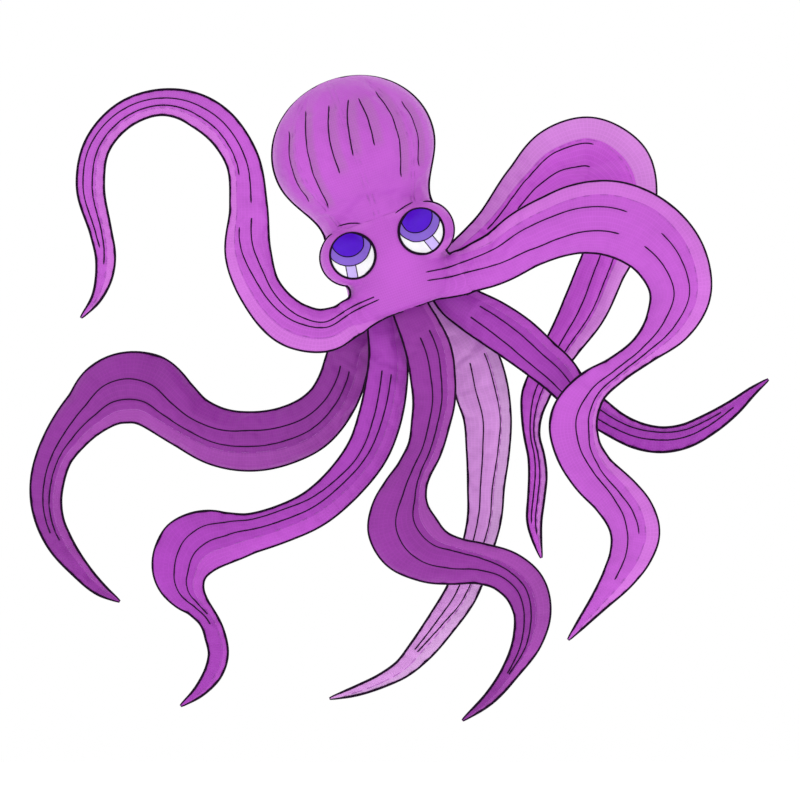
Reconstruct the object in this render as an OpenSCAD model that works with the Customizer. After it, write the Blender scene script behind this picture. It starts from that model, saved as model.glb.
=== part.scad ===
// Soft octopus kite: an air-filled fabric head with eight sewn, air-filled arms.
// +Z is up, the face looks along -Y, and the origin is the centre of the tow eyelet on the back.

/* [Head] */
// Lean of the head towards -X, in degrees
head_lean = 19.7; // [12:0.1:28]
// Largest radius of the mantle
mantle_r = 206; // [185:1:250]
// Height of the crown above the base
crown_h = 565; // [540:1:680]
// Height of the mantle's widest ring above the base
bulb_h = 387; // [360:1:420]
// Radius of the neck seam between mantle and face
neck_r = 140; // [125:1:150]
// Height of the neck seam above the base
neck_h = 205; // [195:1:240]
// Largest radius of the face
face_r = 148; // [140:1:160]
// Height of the face's widest ring
face_h = 110; // [95:1:125]
// Radius of the hem round the base panel
hem_r = 100; // [85:1:110]
// Depth of the hem below the base plane
hem_drop = 35; // [30:1:45]
// Thickness of a fabric skin
skin = 1.5; // [1:0.1:2.5]
// Radius of the crown patch
patch_r = 48; // [36:1:60]
// Radius of the air hole in each inner baffle
baffle_hole_r = 70; // [50:1:90]

/* [Eyes] */
// Radius of a padded eye mound
mound_r = 70; // [64:1:84]
// Distance from the head's axis to the middle of a mound
mound_x = 103; // [95:1:112]
// Distance from the head's axis forward to the middle of a mound
mound_y = 85; // [75:1:95]
// Height of the middle of an eye above the base
eye_h = 136; // [125:1:142]
// Distance from the head's axis to the middle of an eye
eye_x = 90; // [84:1:98]
// Radius of an eye white
white_r = 54; // [44:1:58]
// Radius of an iris
iris_r = 57; // [45:1:60]
// Radius of a pupil
pupil_r = 40; // [30:1:44]
// Rise of the iris above the middle of the eye
gaze = 34; // [20:1:38]
// Width of the dark binding round an eye
binding_w = 4.5; // [3:0.1:6]

/* [Arms] */
// Reach of the arms, as a share of their full length
arm_reach = 1; // [0.8:0.01:1.25]
// Half depth of a fully blown arm
arm_half_depth = 32; // [24:1:36]
// Half depth of a slim arm, as a share of its half width
arm_roundness = 0.44; // [0.3:0.01:0.5]
// Gap between an arm panel and its hinge seam
seam_gap = 6; // [4:0.5:12]
// Length of the rounding at each end of an arm panel
end_round = 20; // [12:1:26]

/* [Intake] */
// Radius of the air intake in the base panel
intake_r = 36; // [28:1:40]
// Radius of the springy rod in the intake hoop
hoop_rod_r = 1.5; // [1:0.1:2]
// Thickness of the intake mesh
mesh_t = 1; // [0.6:0.1:1.5]
// Thickness of the one-way valve flap
flap_t = 1; // [0.6:0.1:1.5]

/* [Zip] */
// Length of the zip's tape
zip_l = 108; // [90:1:112]
// Width of the zip's tape
zip_w = 26; // [20:1:32]
// Width of the zip's row of teeth
teeth_w = 6; // [5:0.5:8]
// Turn of the zip round the head from the back, in degrees
zip_turn = 45; // [35:1:55]

/* [Bridle tabs] */
// Radius of the hole in a bridle eyelet
eyelet_r = 5; // [3:0.1:6]
// Thickness of the webbing in a bridle tab
webbing_t = 2; // [1.5:0.1:3]
// Width of a bridle tab
tab_w = 25; // [22:1:32]
// Distance from the skin to the middle of an eyelet
tab_reach = 40; // [34:1:50]
// Height of the tow eyelet above the base
tow_h = 40; // [34:1:50]

/* [Hidden] */

skin_colour = [0.79, 0.40, 0.85];
pale_colour = [0.86, 0.51, 0.90];
rear_colour = [0.74, 0.42, 0.78];
deep_colour = [0.56, 0.21, 0.60];
plum_colour = [0.65, 0.27, 0.71];
lilac_colour = [0.78, 0.59, 0.81];
dark_colour = [0.20, 0.04, 0.24];

gores = 8;          // gores in the mantle, a node each
fit = 0.3;          // clearance between pieces that lie on each other
gap = 0.5;          // clearance between pieces sewn edge to edge
crown_hole_r = 14;  // the gores stop here, under the crown patch
layer_t = 1;        // thickness of a layer of eye cloth
glint_w = 24;       // width of the light patch in an eye
glint_turn = 25;    // its turn from straight down, away from the head's axis, in degrees
pupil_rise = 5;     // rise of the pupil above the middle of the iris
ring_sides = 12;    // sides of an arm's cross section
ring_step = 30;     // distance between an arm's cross sections

// ---- the head's own frame: +Z up its leaning axis, face along -Y ----
face_back_r = face_radius(tow_h);
axis_y = -(face_back_r + tab_reach);
base_at = [tow_h * sin(head_lean), axis_y, -tow_h * cos(head_lean)];
module in_head() translate(base_at) rotate([0, -head_lean, 0]) children();

// radius of the face skin at height s
function face_radius(s) =
    s > face_h
    ? neck_r + (face_r - neck_r) * (0.5 + 0.5 * cos(180 * (s - face_h) / (neck_h - face_h)))
    : hem_r + (face_r - hem_r) * sqrt(max(0, 1 - pow((face_h - s) / (face_h + hem_drop), 2)));

// radius of the mantle at height s, with in the inward offset of the surface
function mantle_radius(s, in = 0) =
    s > bulb_h
    ? (mantle_r - in) * sqrt(max(0, 1 - pow((s - bulb_h) / (crown_h - in - bulb_h), 2)))
    : neck_r - in + (mantle_r - neck_r)
      * (0.5 + 0.5 * cos(180 * pow((bulb_h - s) / (bulb_h - neck_h), 1.15)));

// height of the crown's curve at radius r
function crown_height(r, in = 0) =
    bulb_h + (crown_h - in - bulb_h) * sqrt(1 - pow(r / (mantle_r - in), 2));

// profile of the mantle from the neck up to radius stop, at offset in
function mantle_line(in, stop) = concat(
    [for (k = [0:12]) let (s = neck_h + gap / 2 + (bulb_h - neck_h - gap / 2) * k / 12)
        [mantle_radius(s, in), s]],
    [for (k = [1:12]) let (a = acos(stop / (mantle_r - in)) * k / 12)
        [(mantle_r - in) * cos(a), bulb_h + (crown_h - in - bulb_h) * sin(a)]]);

function backwards(list) = [for (k = [len(list) - 1:-1:0]) list[k]];

// ---- mantle ----
module mantle_gore(number) {
    seam_turn = 0.15;
    turn = 360 / gores;
    color(number % 2 == 0 ? skin_colour : pale_colour) in_head()
        rotate([0, 0, -90 + (number - 1) * turn + seam_turn / 2])
            rotate_extrude(angle = turn - seam_turn, $fn = 96)
                polygon(concat(mantle_line(0, crown_hole_r), backwards(mantle_line(skin, crown_hole_r))));
}

module crown_patch() {
    low = -fit;
    high = -fit - skin;
    rim = [for (k = [0:8]) let (r = patch_r * k / 8) [r, crown_height(r, low)]];
    top = [for (k = [0:8]) let (r = patch_r * k / 8) [r, crown_height(r, high)]];
    color(pale_colour) in_head() rotate_extrude($fn = 96) polygon(concat(rim, backwards(top)));
}

// a flat ring baffle that spreads the skin at height s
module baffle(s, radius) {
    color(pale_colour) in_head() translate([0, 0, s]) difference() {
        cylinder(r = radius, h = skin, center = true, $fn = 96);
        cylinder(r = baffle_hole_r, h = 3 * skin, center = true, $fn = 64);
    }
}
module mantle_baffle() baffle(bulb_h, mantle_r - skin - gap);
module neck_baffle() baffle(neck_h - 20, face_radius(neck_h) - skin - gap);

module neck_band() {
    band_h = 16;
    outer = neck_r - skin - fit;
    color(dark_colour) in_head() translate([0, 0, neck_h - band_h / 2]) difference() {
        cylinder(r = outer, h = band_h, $fn = 96);
        translate([0, 0, -1]) cylinder(r = outer - skin, h = band_h + 2, $fn = 96);
    }
}

// ---- face ----
function face_line(in) =
    [for (k = [0:18]) let (s = -hem_drop + (neck_h - gap / 2 + hem_drop) * k / 18) [face_radius(s) - in, s]];

module face_half(turn) {
    seam_turn = 0.3;
    color(skin_colour) in_head() rotate([0, 0, turn + seam_turn / 2])
        rotate_extrude(angle = 180 - seam_turn, $fn = 96)
            polygon(concat(face_line(0), backwards(face_line(skin))));
}
module face_front() face_half(180);
module face_back() face_half(0);

module base_panel() {
    color(deep_colour) in_head() translate([0, 0, -hem_drop]) difference() {
        cylinder(r = hem_r - skin - fit, h = skin, $fn = 96);
        translate([intake_x, intake_y, -1]) cylinder(r = intake_r, h = skin + 2, $fn = 64);
    }
}

// ---- eyes: side is -1 for the left eye and 1 for the right, as the viewer sees them ----
module at_mound(side) in_head() translate([side * mound_x, -mound_y, eye_h]) children();

// keeps what lies in front of the mound and inside a circle of radius r seen from the front,
// rise above the middle of the eye
module eye_circle(side, r, rise = 0)
    translate([side * (eye_x - mound_x), 0, rise]) rotate([90, 0, 0])
        cylinder(r = r, h = 2 * mound_r, $fn = 64);

// a layer of appliqué cloth on the mound, number 0 on the skin itself
module eye_layer(number) {
    low = mound_r + fit + number * (fit + layer_t);
    difference() {
        sphere(r = low + layer_t, $fn = 96);
        sphere(r = low, $fn = 96);
    }
}
module eye_mound(side) {
    color(skin_colour) difference() {
        at_mound(side) sphere(r = mound_r, $fn = 96);
        in_head() face_space();
        in_head() rotate_extrude($fn = 96)
            polygon(concat([[0, neck_h - gap / 2]], mantle_line(-fit, crown_hole_r), [[0, crown_h]]));
        in_head() translate([0, 0, neck_h - gap]) cylinder(r = neck_r + fit, h = 2 * gap, $fn = 96);
    }
}

// the face's skin and all that it holds
module face_space() rotate_extrude($fn = 96)
    polygon(concat(face_line(-fit), [[0, neck_h - gap / 2], [0, -hem_drop]]));

// what the face leaves free for eye cloth
module eye_cloth(side) {
    difference() {
        at_mound(side) children();
        in_head() face_space();
    }
}
module eye_white(side) color("white") eye_cloth(side) intersection() {
    eye_layer(0);
    eye_circle(side, white_r);
}
module eye_binding(side) color(dark_colour) eye_cloth(side) intersection() {
    eye_layer(0);
    difference() {
        eye_circle(side, white_r + fit + binding_w);
        eye_circle(side, white_r + fit);
    }
}
module eye_iris(side) color([0.54, 0.40, 0.84]) eye_cloth(side) intersection() {
    eye_layer(1);
    eye_circle(side, white_r);
    eye_circle(side, iris_r, gaze);
}
module eye_pupil(side) color([0.36, 0.15, 0.80]) eye_cloth(side) intersection() {
    eye_layer(2);
    eye_circle(side, white_r);
    eye_circle(side, pupil_r, gaze + pupil_rise);
}
module eye_glint(side) color([0.77, 0.71, 0.94]) eye_cloth(side) intersection() {
    eye_layer(1);
    eye_circle(side, white_r);
    difference() {
        translate([side * (eye_x - mound_x), 0, 0]) rotate([0, side * -glint_turn, 0])
            translate([-glint_w / 2, -2 * mound_r, -2 * mound_r]) cube([glint_w, 2 * mound_r, 2 * mound_r]);
        eye_circle(side, iris_r + fit, gaze);
    }
}

// ---- intake in the base panel ----
intake_x = -5;
intake_y = 14;
sleeve_wall = 0.8;
ferrule_wall = 0.7;
hoop_r = intake_r - 1;                                   // radius of the hoop's centre line
ferrule_r = hoop_rod_r + 0.05 + ferrule_wall;
sleeve_r = ferrule_r + 0.2 + sleeve_wall;
hoop_drop = sleeve_r + gap;                              // the sleeve hangs under the base panel
module at_intake(s) in_head() translate([intake_x, intake_y, -hem_drop + s]) children();

module intake_hoop() color("gray") at_intake(-hoop_drop) rotate([0, 0, 1])
    rotate_extrude(angle = 358, $fn = 96) translate([hoop_r, 0]) circle(r = hoop_rod_r, $fn = 32);

module hoop_ferrule() color("silver") at_intake(-hoop_drop) rotate([0, 0, -16])
    rotate_extrude(angle = 32, $fn = 96) translate([hoop_r, 0]) difference() {
        circle(r = ferrule_r, $fn = 32);
        circle(r = hoop_rod_r + 0.05, $fn = 32);
    }

module hoop_sleeve() color(dark_colour) at_intake(-hoop_drop)
    rotate_extrude($fn = 96) translate([hoop_r, 0]) difference() {
        circle(r = sleeve_r, $fn = 32);
        circle(r = ferrule_r + 0.2, $fn = 32);
    }

mesh_r = hoop_r - sleeve_r - fit;
module intake_mesh() color("black") at_intake(-hoop_drop - mesh_t / 2) {
    bar = 1.2;
    cell = 6;
    difference() {
        cylinder(r = mesh_r, h = mesh_t, $fn = 64);
        for (x = [-mesh_r + 4:cell:mesh_r - 8], y = [-mesh_r + 4:cell:mesh_r - 8])
            if (norm([abs(x + cell / 2 - bar / 2) + cell / 2, abs(y + cell / 2 - bar / 2) + cell / 2]) < mesh_r - 2)
                translate([x, y, -1]) cube([cell - bar, cell - bar, mesh_t + 2]);
    }
}

flap_r = intake_r + 7;
module valve_flap() color(pale_colour) at_intake(skin + fit) difference() {
    cylinder(r = flap_r, h = flap_t, $fn = 64);
    translate([-flap_r, flap_r - 12, -1]) cube([2 * flap_r, 20, flap_t + 2]);
}

// ---- zip on the mantle's lower cone ----
zip_low = neck_h + 22;
zip_rise = atan2(mantle_radius(zip_low + 100) - mantle_radius(zip_low), 100);
zip_lift = 5;       // stands the straight zip clear of the curved skin
teeth_t = 2;
module at_zip() in_head() rotate([0, 0, 90 + zip_turn])
    translate([mantle_radius(zip_low) + zip_lift, 0, zip_low]) rotate([0, zip_rise, 0]) children();

module zip_tape() color(dark_colour) at_zip() difference() {
    translate([0, -zip_w / 2, 0]) cube([1, zip_w, zip_l]);
    translate([-1, -teeth_w / 2 - fit, -1]) cube([3, teeth_w + 2 * fit, zip_l + 2]);
}
module zip_teeth() color("dimgray") at_zip() translate([-0.5, -teeth_w / 2, 4]) {
    pitch = 4;
    cube([0.8, teeth_w, zip_l - 8]);
    for (k = [0:floor((zip_l - 12) / pitch)])
        translate([0.8, k % 2 == 0 ? 0 : teeth_w / 2 - 0.5, k * pitch + 1])
            cube([teeth_t - 0.8, teeth_w / 2 + 0.5, pitch / 2]);
}
module zip_slider() color("silver") at_zip() translate([teeth_t - 0.5 + fit, 0, zip_l - 22]) {
    slider_l = 14;
    slider_w = teeth_w + 4;
    pull_l = 26;
    hull() for (y = [-1, 1]) translate([0, y * (slider_w / 2 - 3), 0])
        for (z = [3, slider_l - 3]) translate([0, 0, z]) rotate([0, 90, 0]) cylinder(r = 3, h = 2.2, $fn = 32);
    translate([2, -1.5, 4]) cube([2.4, 3, 7]);
    difference() {
        translate([3.2, 0, 0]) hull() {
            translate([0, 0, 8]) rotate([0, 90, 0]) cylinder(r = 3.5, h = 1.2, $fn = 32);
            translate([0, 0, 8 - pull_l]) rotate([0, 90, 0]) cylinder(r = 4.5, h = 1.2, $fn = 32);
        }
        translate([2.6, 0, 8 - pull_l]) rotate([0, 90, 0]) cylinder(r = 2, h = 3, $fn = 32);
    }
}

// ---- bridle tabs: upright webbing loops whose eyelets are bored along X ----
flange_t = 0.8;
flange_r = eyelet_r + 4;
crown_tab_y = mantle_r - face_back_r;      // the upper tab stands off the mantle, which is wider
crown_tab_z = bulb_h * cos(head_lean) - tow_h * cos(head_lean);
crown_tab_x = -(bulb_h - tow_h) * sin(head_lean);

module tab_webbing() color(dark_colour) difference() {
    hull() {
        rotate([0, 90, 0]) cylinder(r = tab_w / 2, h = webbing_t, center = true, $fn = 64);
        translate([0, -tab_reach + gap + 8, 0]) cube([webbing_t, 8, tab_w], center = true);
    }
    rotate([0, 90, 0]) cylinder(r = eyelet_r + 1 + 0.02, h = 3 * webbing_t, center = true, $fn = 64);
}
module eyelet() color("goldenrod") rotate([0, 90, 0]) difference() {
    union() {
        cylinder(r = eyelet_r + 1, h = webbing_t + 2 * flange_t, center = true, $fn = 64);
        for (side = [-1, 1]) translate([0, 0, side * (webbing_t + flange_t + 0.02) / 2])
            cylinder(r = flange_r, h = flange_t, center = true, $fn = 64);
    }
    cylinder(r = eyelet_r, h = 4 * webbing_t, center = true, $fn = 64);
}
module tow_tab() tab_webbing();
module tow_eyelet() eyelet();
module at_crown_tab() translate([crown_tab_x, crown_tab_y, crown_tab_z]) children();
module crown_tab() at_crown_tab() tab_webbing();
module crown_eyelet() at_crown_tab() eyelet();

// ---- arms ----
// An arm is [side, root, depth, elbow, colour, stations]. side is -1 or 1 for an arm sewn to that side of the
// face, and 0 for one sewn under the base. root is [across, up] in the head's frame, where up is a height on
// the face or a drop below the hem. depth is the distance behind the head's axis at the root, at 45 % of the
// length and at the tip. elbow is the number of the station at the second hinge. The stations are
// [x, z, half width] down the middle of the arm, placed by eye.
FRONT_LEFT = [-1, [0, 0], [-55, -140, -165], 10, skin_colour, [
    [-119, -85, 55], [-185, -129, 49], [-265, -113, 55], [-350, -28, 51], [-381, 60, 56], [-381, 180, 46],
    [-395, 298, 40], [-418, 345, 40], [-454, 388, 41], [-497, 418, 40], [-542, 437, 35], [-588, 443, 31],
    [-680, 416, 31], [-757, 330, 31], [-772, 236, 33], [-745, 116, 25], [-734, 59, 23], [-738, 6, 19],
    [-756, -45, 11], [-796, -96, 2]]];
FRONT_RIGHT = [1, [0, 5], [-55, -165, -180], 12, skin_colour, [
    [145, 15, 56], [190, 32, 58], [244, 56, 62], [320, 105, 71], [385, 134, 77], [446, 152, 85],
    [532, 152, 92], [588, 132, 92], [638, 98, 89], [681, 47, 82], [706, -32, 67], [672, -107, 56],
    [606, -175, 34], [536, -226, 31], [472, -273, 42], [430, -354, 57], [442, -418, 57], [480, -479, 58],
    [540, -543, 57], [572, -585, 59], [587, -635, 58], [579, -673, 52], [545, -738, 39], [499, -799, 23],
    [458, -849, 12], [417, -899, 2]]];
REAR_RIGHT = [1, [0, 40], [60, 170, 180], 11, rear_colour, [
    [142, 51, 38], [182, 91, 42], [225, 130, 48], [320, 248, 62], [390, 321, 64], [475, 349, 57],
    [556, 290, 64], [568, 190, 65], [535, 100, 66], [505, 30, 63], [462, -75, 56], [408, -162, 42],
    [362, -238, 35], [340, -288, 34], [330, -342, 24], [331, -392, 19], [342, -440, 21], [346, -485, 23],
    [342, -545, 21], [337, -605, 18], [344, -652, 10], [355, -697, 2]]];
SIDE_RIGHT = [0, [124, 36], [0, 0, 15], 5, plum_colour, [
    [155, -63, 46], [185, -80, 51], [236, -110, 55], [295, -150, 55], [352, -197, 50], [396, -235, 47],
    [422, -265, 42], [462, -305, 37], [500, -335, 34], [542, -364, 31], [600, -391, 31], [656, -400, 30],
    [715, -390, 28], [766, -365, 25], [835, -319, 17], [885, -276, 8], [923, -248, 2]]];
TAIL = [0, [83, 44], [62, 150, 165], 7, lilac_colour, [
    [118, -84, 40], [145, -125, 45], [180, -180, 56], [205, -272, 66], [220, -338, 60], [222, -425, 54],
    [217, -515, 46], [212, -600, 42], [197, -657, 40], [180, -712, 40], [152, -780, 41], [102, -857, 37],
    [49, -927, 31], [7, -972, 22], [-39, -1000, 16], [-104, -1027, 11], [-178, -1049, 2]]];
CENTRE = [0, [2, 23], [-55, -95, -110], 7, deep_colour, [
    [35, -92, 46], [51, -125, 50], [72, -179, 55], [82, -242, 54], [85, -300, 51], [76, -360, 46],
    [59, -422, 44], [31, -479, 46], [10, -530, 57], [2, -571, 68], [5, -610, 76], [30, -660, 78],
    [68, -690, 68], [120, -702, 60], [202, -710, 50], [267, -731, 50], [310, -767, 52], [330, -826, 49],
    [321, -895, 39], [277, -979, 22], [227, -1042, 14], [155, -1101, 2]]];
REAR_LEFT = [0, [-127, 12], [60, 140, 150], 7, deep_colour, [
    [-90, -125, 45], [-125, -172, 54], [-141, -245, 54], [-172, -307, 58], [-227, -362, 66], [-290, -389, 71],
    [-370, -402, 74], [-451, -391, 72], [-522, -354, 69], [-574, -314, 72], [-629, -266, 71], [-680, -253, 72],
    [-733, -267, 74], [-787, -322, 65], [-832, -382, 53], [-865, -442, 44], [-881, -496, 42], [-885, -556, 38],
    [-874, -610, 34], [-852, -657, 31], [-805, -721, 22], [-751, -775, 14], [-701, -806, 2]]];
SIDE_LEFT = [0, [-75, 17], [0, -5, 10], 7, plum_colour, [
    [-40, -112, 40], [-30, -200, 47], [-37, -270, 50], [-55, -350, 51], [-80, -417, 50], [-145, -505, 47],
    [-216, -568, 46], [-302, -609, 46], [-374, -632, 49], [-432, -643, 57], [-487, -649, 60],
    [-533, -671, 60], [-559, -706, 56], [-563, -748, 57], [-545, -788, 48], [-513, -814, 37], [-480, -845, 27],
    [-460, -893, 26], [-456, -935, 26], [-469, -981, 23], [-500, -1026, 13], [-550, -1066, 2]]];

// where an arm's root seam crosses its middle, in the kite's frame
function root_of(arm) =
    let (side = arm[0], up = side == 0 ? -hem_drop - arm[1].y : arm[1].y, depth = arm[2][0],
         across = side == 0 ? arm[1].x : side * sqrt(pow(face_radius(up) + root_stand, 2) - depth * depth))
    base_at + [across * cos(head_lean) - up * sin(head_lean), depth,
               across * sin(head_lean) + up * cos(head_lean)];
root_stand = 20;    // a root seam stands this far off the face, for the roundness of the arm's end

// distance along the stations to each of them
function knots(list, i = 0, s = 0) =
    i == len(list) - 1 ? [s]
    : concat([s], knots(list, i + 1, s + norm([list[i + 1].x - list[i].x, list[i + 1].y - list[i].y])));

function slope_at(list, knot, i) =
    let (last = len(list) - 1, lo = max(i - 1, 0), hi = min(i + 1, last), mid = max(1, min(i, last - 1)))
    i == 0 || i == last
    ? (list[hi] - list[lo]) / (knot[hi] - knot[lo])
    : let (a = knot[mid] - knot[lo], b = knot[hi] - knot[mid])
      ((list[mid] - list[lo]) / a * b + (list[hi] - list[mid]) / b * a) / (a + b);

function span_of(knot, s, i = 0) = i >= len(knot) - 2 || s < knot[i + 1] ? i : span_of(knot, s, i + 1);

// the smooth curve through the stations, at distance s
function along(list, knot, s) =
    let (i = span_of(knot, s), d = knot[i + 1] - knot[i], t = (s - knot[i]) / d,
         a = slope_at(list, knot, i) * d, b = slope_at(list, knot, i + 1) * d)
    list[i] * (2 * t * t * t - 3 * t * t + 1) + a * (t * t * t - 2 * t * t + t)
    + list[i + 1] * (3 * t * t - 2 * t * t * t) + b * (t * t * t - t * t);

function depth_at(depth, t) =
    let (fan = 0.45)
    t < fan
    ? depth[0] + (depth[1] - depth[0]) * sin(90 * t / fan)
    : depth[1] + (depth[2] - depth[1]) * (1 - cos(90 * (t - fan) / (1 - fan)));

function middle(arm, knot, s) =
    let (list = arm[5], p = along(list, knot, s), reach = arm_reach)
    root_of(arm) + [(p.x - list[0].x) * reach, depth_at(arm[2], s / knot[len(knot) - 1]) - arm[2][0],
                    (p.y - list[0].y) * reach];

// one cross section, flattened by press near the panel's ends
function section(arm, knot, s, press) =
    let (end = knot[len(knot) - 1], p = middle(arm, knot, s),
         ahead = middle(arm, knot, min(s + 1, end)), behind = middle(arm, knot, max(s - 1, 0)),
         way = (ahead - behind) / norm(ahead - behind),
         across = [-way.z, 0, way.x] / norm([way.x, way.z]), through = cross(across, way),
         half = max(along(arm[5], knot, s).z, 2), half_depth = min(arm_half_depth, half * arm_roundness) * press)
    [for (k = [0:ring_sides - 1]) let (a = 360 * k / ring_sides)
        p + across * half * cos(a) + through * half_depth * sin(a)];

// where an arm's cross sections are, between two distances along it, and how far each is flattened
function places(from, to, tip) =
    let (a = from + seam_gap, b = tip ? to : to - seam_gap, start = a + end_round, stop = tip ? b : b - end_round,
         steps = ceil((stop - start) / ring_step))
    concat([[a, 0.4], [a + end_round * 0.35, 0.8]],
           [for (k = [0:steps]) [start + (stop - start) * k / steps, 1]],
           tip ? [] : [[b - end_round * 0.35, 0.8], [b, 0.4]]);

// a closed panel between two stations
module arm_panel(arm, first, last) {
    list = arm[5];
    knot = knots(list);
    stops = places(knot[first], knot[last], last == len(list) - 1);
    rings = [for (stop = stops) section(arm, knot, stop[0], stop[1])];
    points = [for (ring = rings, p = ring) p];
    n = ring_sides;
    sides = [for (k = [0:len(rings) - 2], j = [0:n - 1])
        let (a = k * n + j, b = k * n + (j + 1) % n, c = b + n, d = a + n)
        each [[a, b, c], [a, c, d]]];
    ends = [[for (j = [n - 1:-1:0]) j], [for (j = [0:n - 1]) (len(rings) - 1) * n + j]];
    color(arm[4]) polyhedron(points, concat(sides, ends), convexity = 6);
}
module upper(arm) arm_panel(arm, 0, arm[3]);
module lower(arm) arm_panel(arm, arm[3], len(arm[5]) - 1);

module front_left_arm_upper() upper(FRONT_LEFT);
module front_left_arm_lower() lower(FRONT_LEFT);
module front_right_arm_upper() upper(FRONT_RIGHT);
module front_right_arm_lower() lower(FRONT_RIGHT);
module rear_left_arm_upper() upper(REAR_LEFT);
module rear_left_arm_lower() lower(REAR_LEFT);
module rear_right_arm_upper() upper(REAR_RIGHT);
module rear_right_arm_lower() lower(REAR_RIGHT);
module side_left_arm_upper() upper(SIDE_LEFT);
module side_left_arm_lower() lower(SIDE_LEFT);
module side_right_arm_upper() upper(SIDE_RIGHT);
module side_right_arm_lower() lower(SIDE_RIGHT);
module centre_arm_upper() upper(CENTRE);
module centre_arm_lower() lower(CENTRE);
module tail_arm_upper() upper(TAIL);
module tail_arm_lower() lower(TAIL);

mantle_gore(1);  // mantle_gore_1
mantle_gore(2);  // mantle_gore_2
mantle_gore(3);  // mantle_gore_3
mantle_gore(4);  // mantle_gore_4
mantle_gore(5);  // mantle_gore_5
mantle_gore(6);  // mantle_gore_6
mantle_gore(7);  // mantle_gore_7
mantle_gore(8);  // mantle_gore_8
crown_patch();
mantle_baffle();
neck_baffle();
neck_band();
face_front();
face_back();
eye_mound(-1);  // left_eye_mound
eye_mound(1);  // right_eye_mound
eye_white(-1);  // left_eye_white
eye_white(1);  // right_eye_white
eye_iris(-1);  // left_iris
eye_iris(1);  // right_iris
eye_pupil(-1);  // left_pupil
eye_pupil(1);  // right_pupil
eye_glint(-1);  // left_eye_glint
eye_glint(1);  // right_eye_glint
eye_binding(-1);  // left_eye_binding
eye_binding(1);  // right_eye_binding
base_panel();
intake_hoop();
hoop_ferrule();
hoop_sleeve();
intake_mesh();
valve_flap();
zip_tape();
zip_teeth();
zip_slider();
tow_tab();
tow_eyelet();
crown_tab();
crown_eyelet();
front_left_arm_upper();
front_left_arm_lower();
front_right_arm_upper();
front_right_arm_lower();
rear_left_arm_upper();
rear_left_arm_lower();
rear_right_arm_upper();
rear_right_arm_lower();
side_left_arm_upper();
side_left_arm_lower();
side_right_arm_upper();
side_right_arm_lower();
centre_arm_upper();
centre_arm_lower();
tail_arm_upper();
tail_arm_lower();
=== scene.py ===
"""Looks of the soft octopus kite: skins of coated ripstop, dark piping, stitched seams, eyes and fittings."""
import math

import bmesh
import bpy
import numpy as np
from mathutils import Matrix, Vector
from mathutils.bvhtree import BVHTree


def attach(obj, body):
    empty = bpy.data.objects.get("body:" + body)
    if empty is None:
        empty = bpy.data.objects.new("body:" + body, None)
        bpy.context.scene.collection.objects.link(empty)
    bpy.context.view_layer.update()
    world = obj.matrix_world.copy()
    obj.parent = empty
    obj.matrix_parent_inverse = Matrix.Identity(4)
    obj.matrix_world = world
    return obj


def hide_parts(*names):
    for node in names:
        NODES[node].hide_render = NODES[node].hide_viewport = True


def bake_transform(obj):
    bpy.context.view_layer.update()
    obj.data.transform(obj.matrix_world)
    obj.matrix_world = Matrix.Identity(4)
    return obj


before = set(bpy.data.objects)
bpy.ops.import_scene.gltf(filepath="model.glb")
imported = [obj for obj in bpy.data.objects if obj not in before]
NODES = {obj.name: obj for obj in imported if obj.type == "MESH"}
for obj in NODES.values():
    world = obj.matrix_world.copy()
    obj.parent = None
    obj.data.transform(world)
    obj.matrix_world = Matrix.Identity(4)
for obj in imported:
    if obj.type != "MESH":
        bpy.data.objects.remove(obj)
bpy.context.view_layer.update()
SCENE = bpy.context.scene

# ---- sizes shared with the CAD model, in metres ----
HEAD_LEAN = math.radians(19.7)
MANTLE_R = 0.206
CROWN_H = 0.565
BULB_H = 0.387
NECK_R = 0.140
NECK_H = 0.205
FACE_R = 0.148
FACE_H = 0.110
HEM_R = 0.100
HEM_DROP = 0.035
MOUND_R = 0.070
MOUND_X = 0.103
MOUND_Y = 0.085
MOUND_H = 0.136
EYE_X = 0.090
WHITE_R = 0.054
IRIS_R = 0.057
PUPIL_R = 0.040
GAZE = 0.034
PUPIL_RISE = 0.005
GLINT_W = 0.024
GLINT_AT = (0.016, -0.034)       # middle of a light patch from the middle of its eye
GLINT_TILT = {-1: math.radians(9), 1: math.radians(20)}
PATCH_R = 0.048
ARM_HALF_DEPTH = 0.032
ARM_ROUNDNESS = 0.44
ROOT_STAND = 0.020
FAN = 0.45
TOW_H = 0.040
TAB_REACH = 0.040
INTAKE_AT = (-0.005, 0.014)
INTAKE_R = 0.036
ZIP_L = 0.108
ZIP_W = 0.026

# ---- sizes of the sewing ----
PIPING_R = 0.0033
SEAM_R = 0.0019
EYE_RING_R = 0.0034
OUTLINE_R = 0.0014
TOPSTITCH_R = 0.0007
RING_STEP = 0.009                # between the rings of an arm's skin
CORD_STEP = 0.7 * RING_STEP      # between the rings of a cord on an arm
PANEL_CELLS = (8, 5, 4, 5)       # columns of an arm's skin in each of the four strips across it
SEAM_SINK = 0.0065               # how deep a rib seam draws the cloth in
SEAM_SPREAD = 0.010              # how far beside a seam the cloth is still drawn in


def face_radius(up):
    """Radius of the face skin at a height above the base."""
    if up > FACE_H:
        share = (up - FACE_H) / (NECK_H - FACE_H)
        return NECK_R + (FACE_R - NECK_R) * (0.5 + 0.5 * math.cos(math.pi * share))
    share = (FACE_H - up) / (FACE_H + HEM_DROP)
    return HEM_R + (FACE_R - HEM_R) * math.sqrt(max(0.0, 1 - share * share))


def mantle_radius(up):
    """Radius of the mantle at a height above the base."""
    if up > BULB_H:
        return MANTLE_R * math.sqrt(max(0.0, 1 - ((up - BULB_H) / (CROWN_H - BULB_H)) ** 2))
    share = ((BULB_H - up) / (BULB_H - NECK_H)) ** 1.15
    return NECK_R + (MANTLE_R - NECK_R) * (0.5 + 0.5 * math.cos(math.pi * share))


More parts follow.
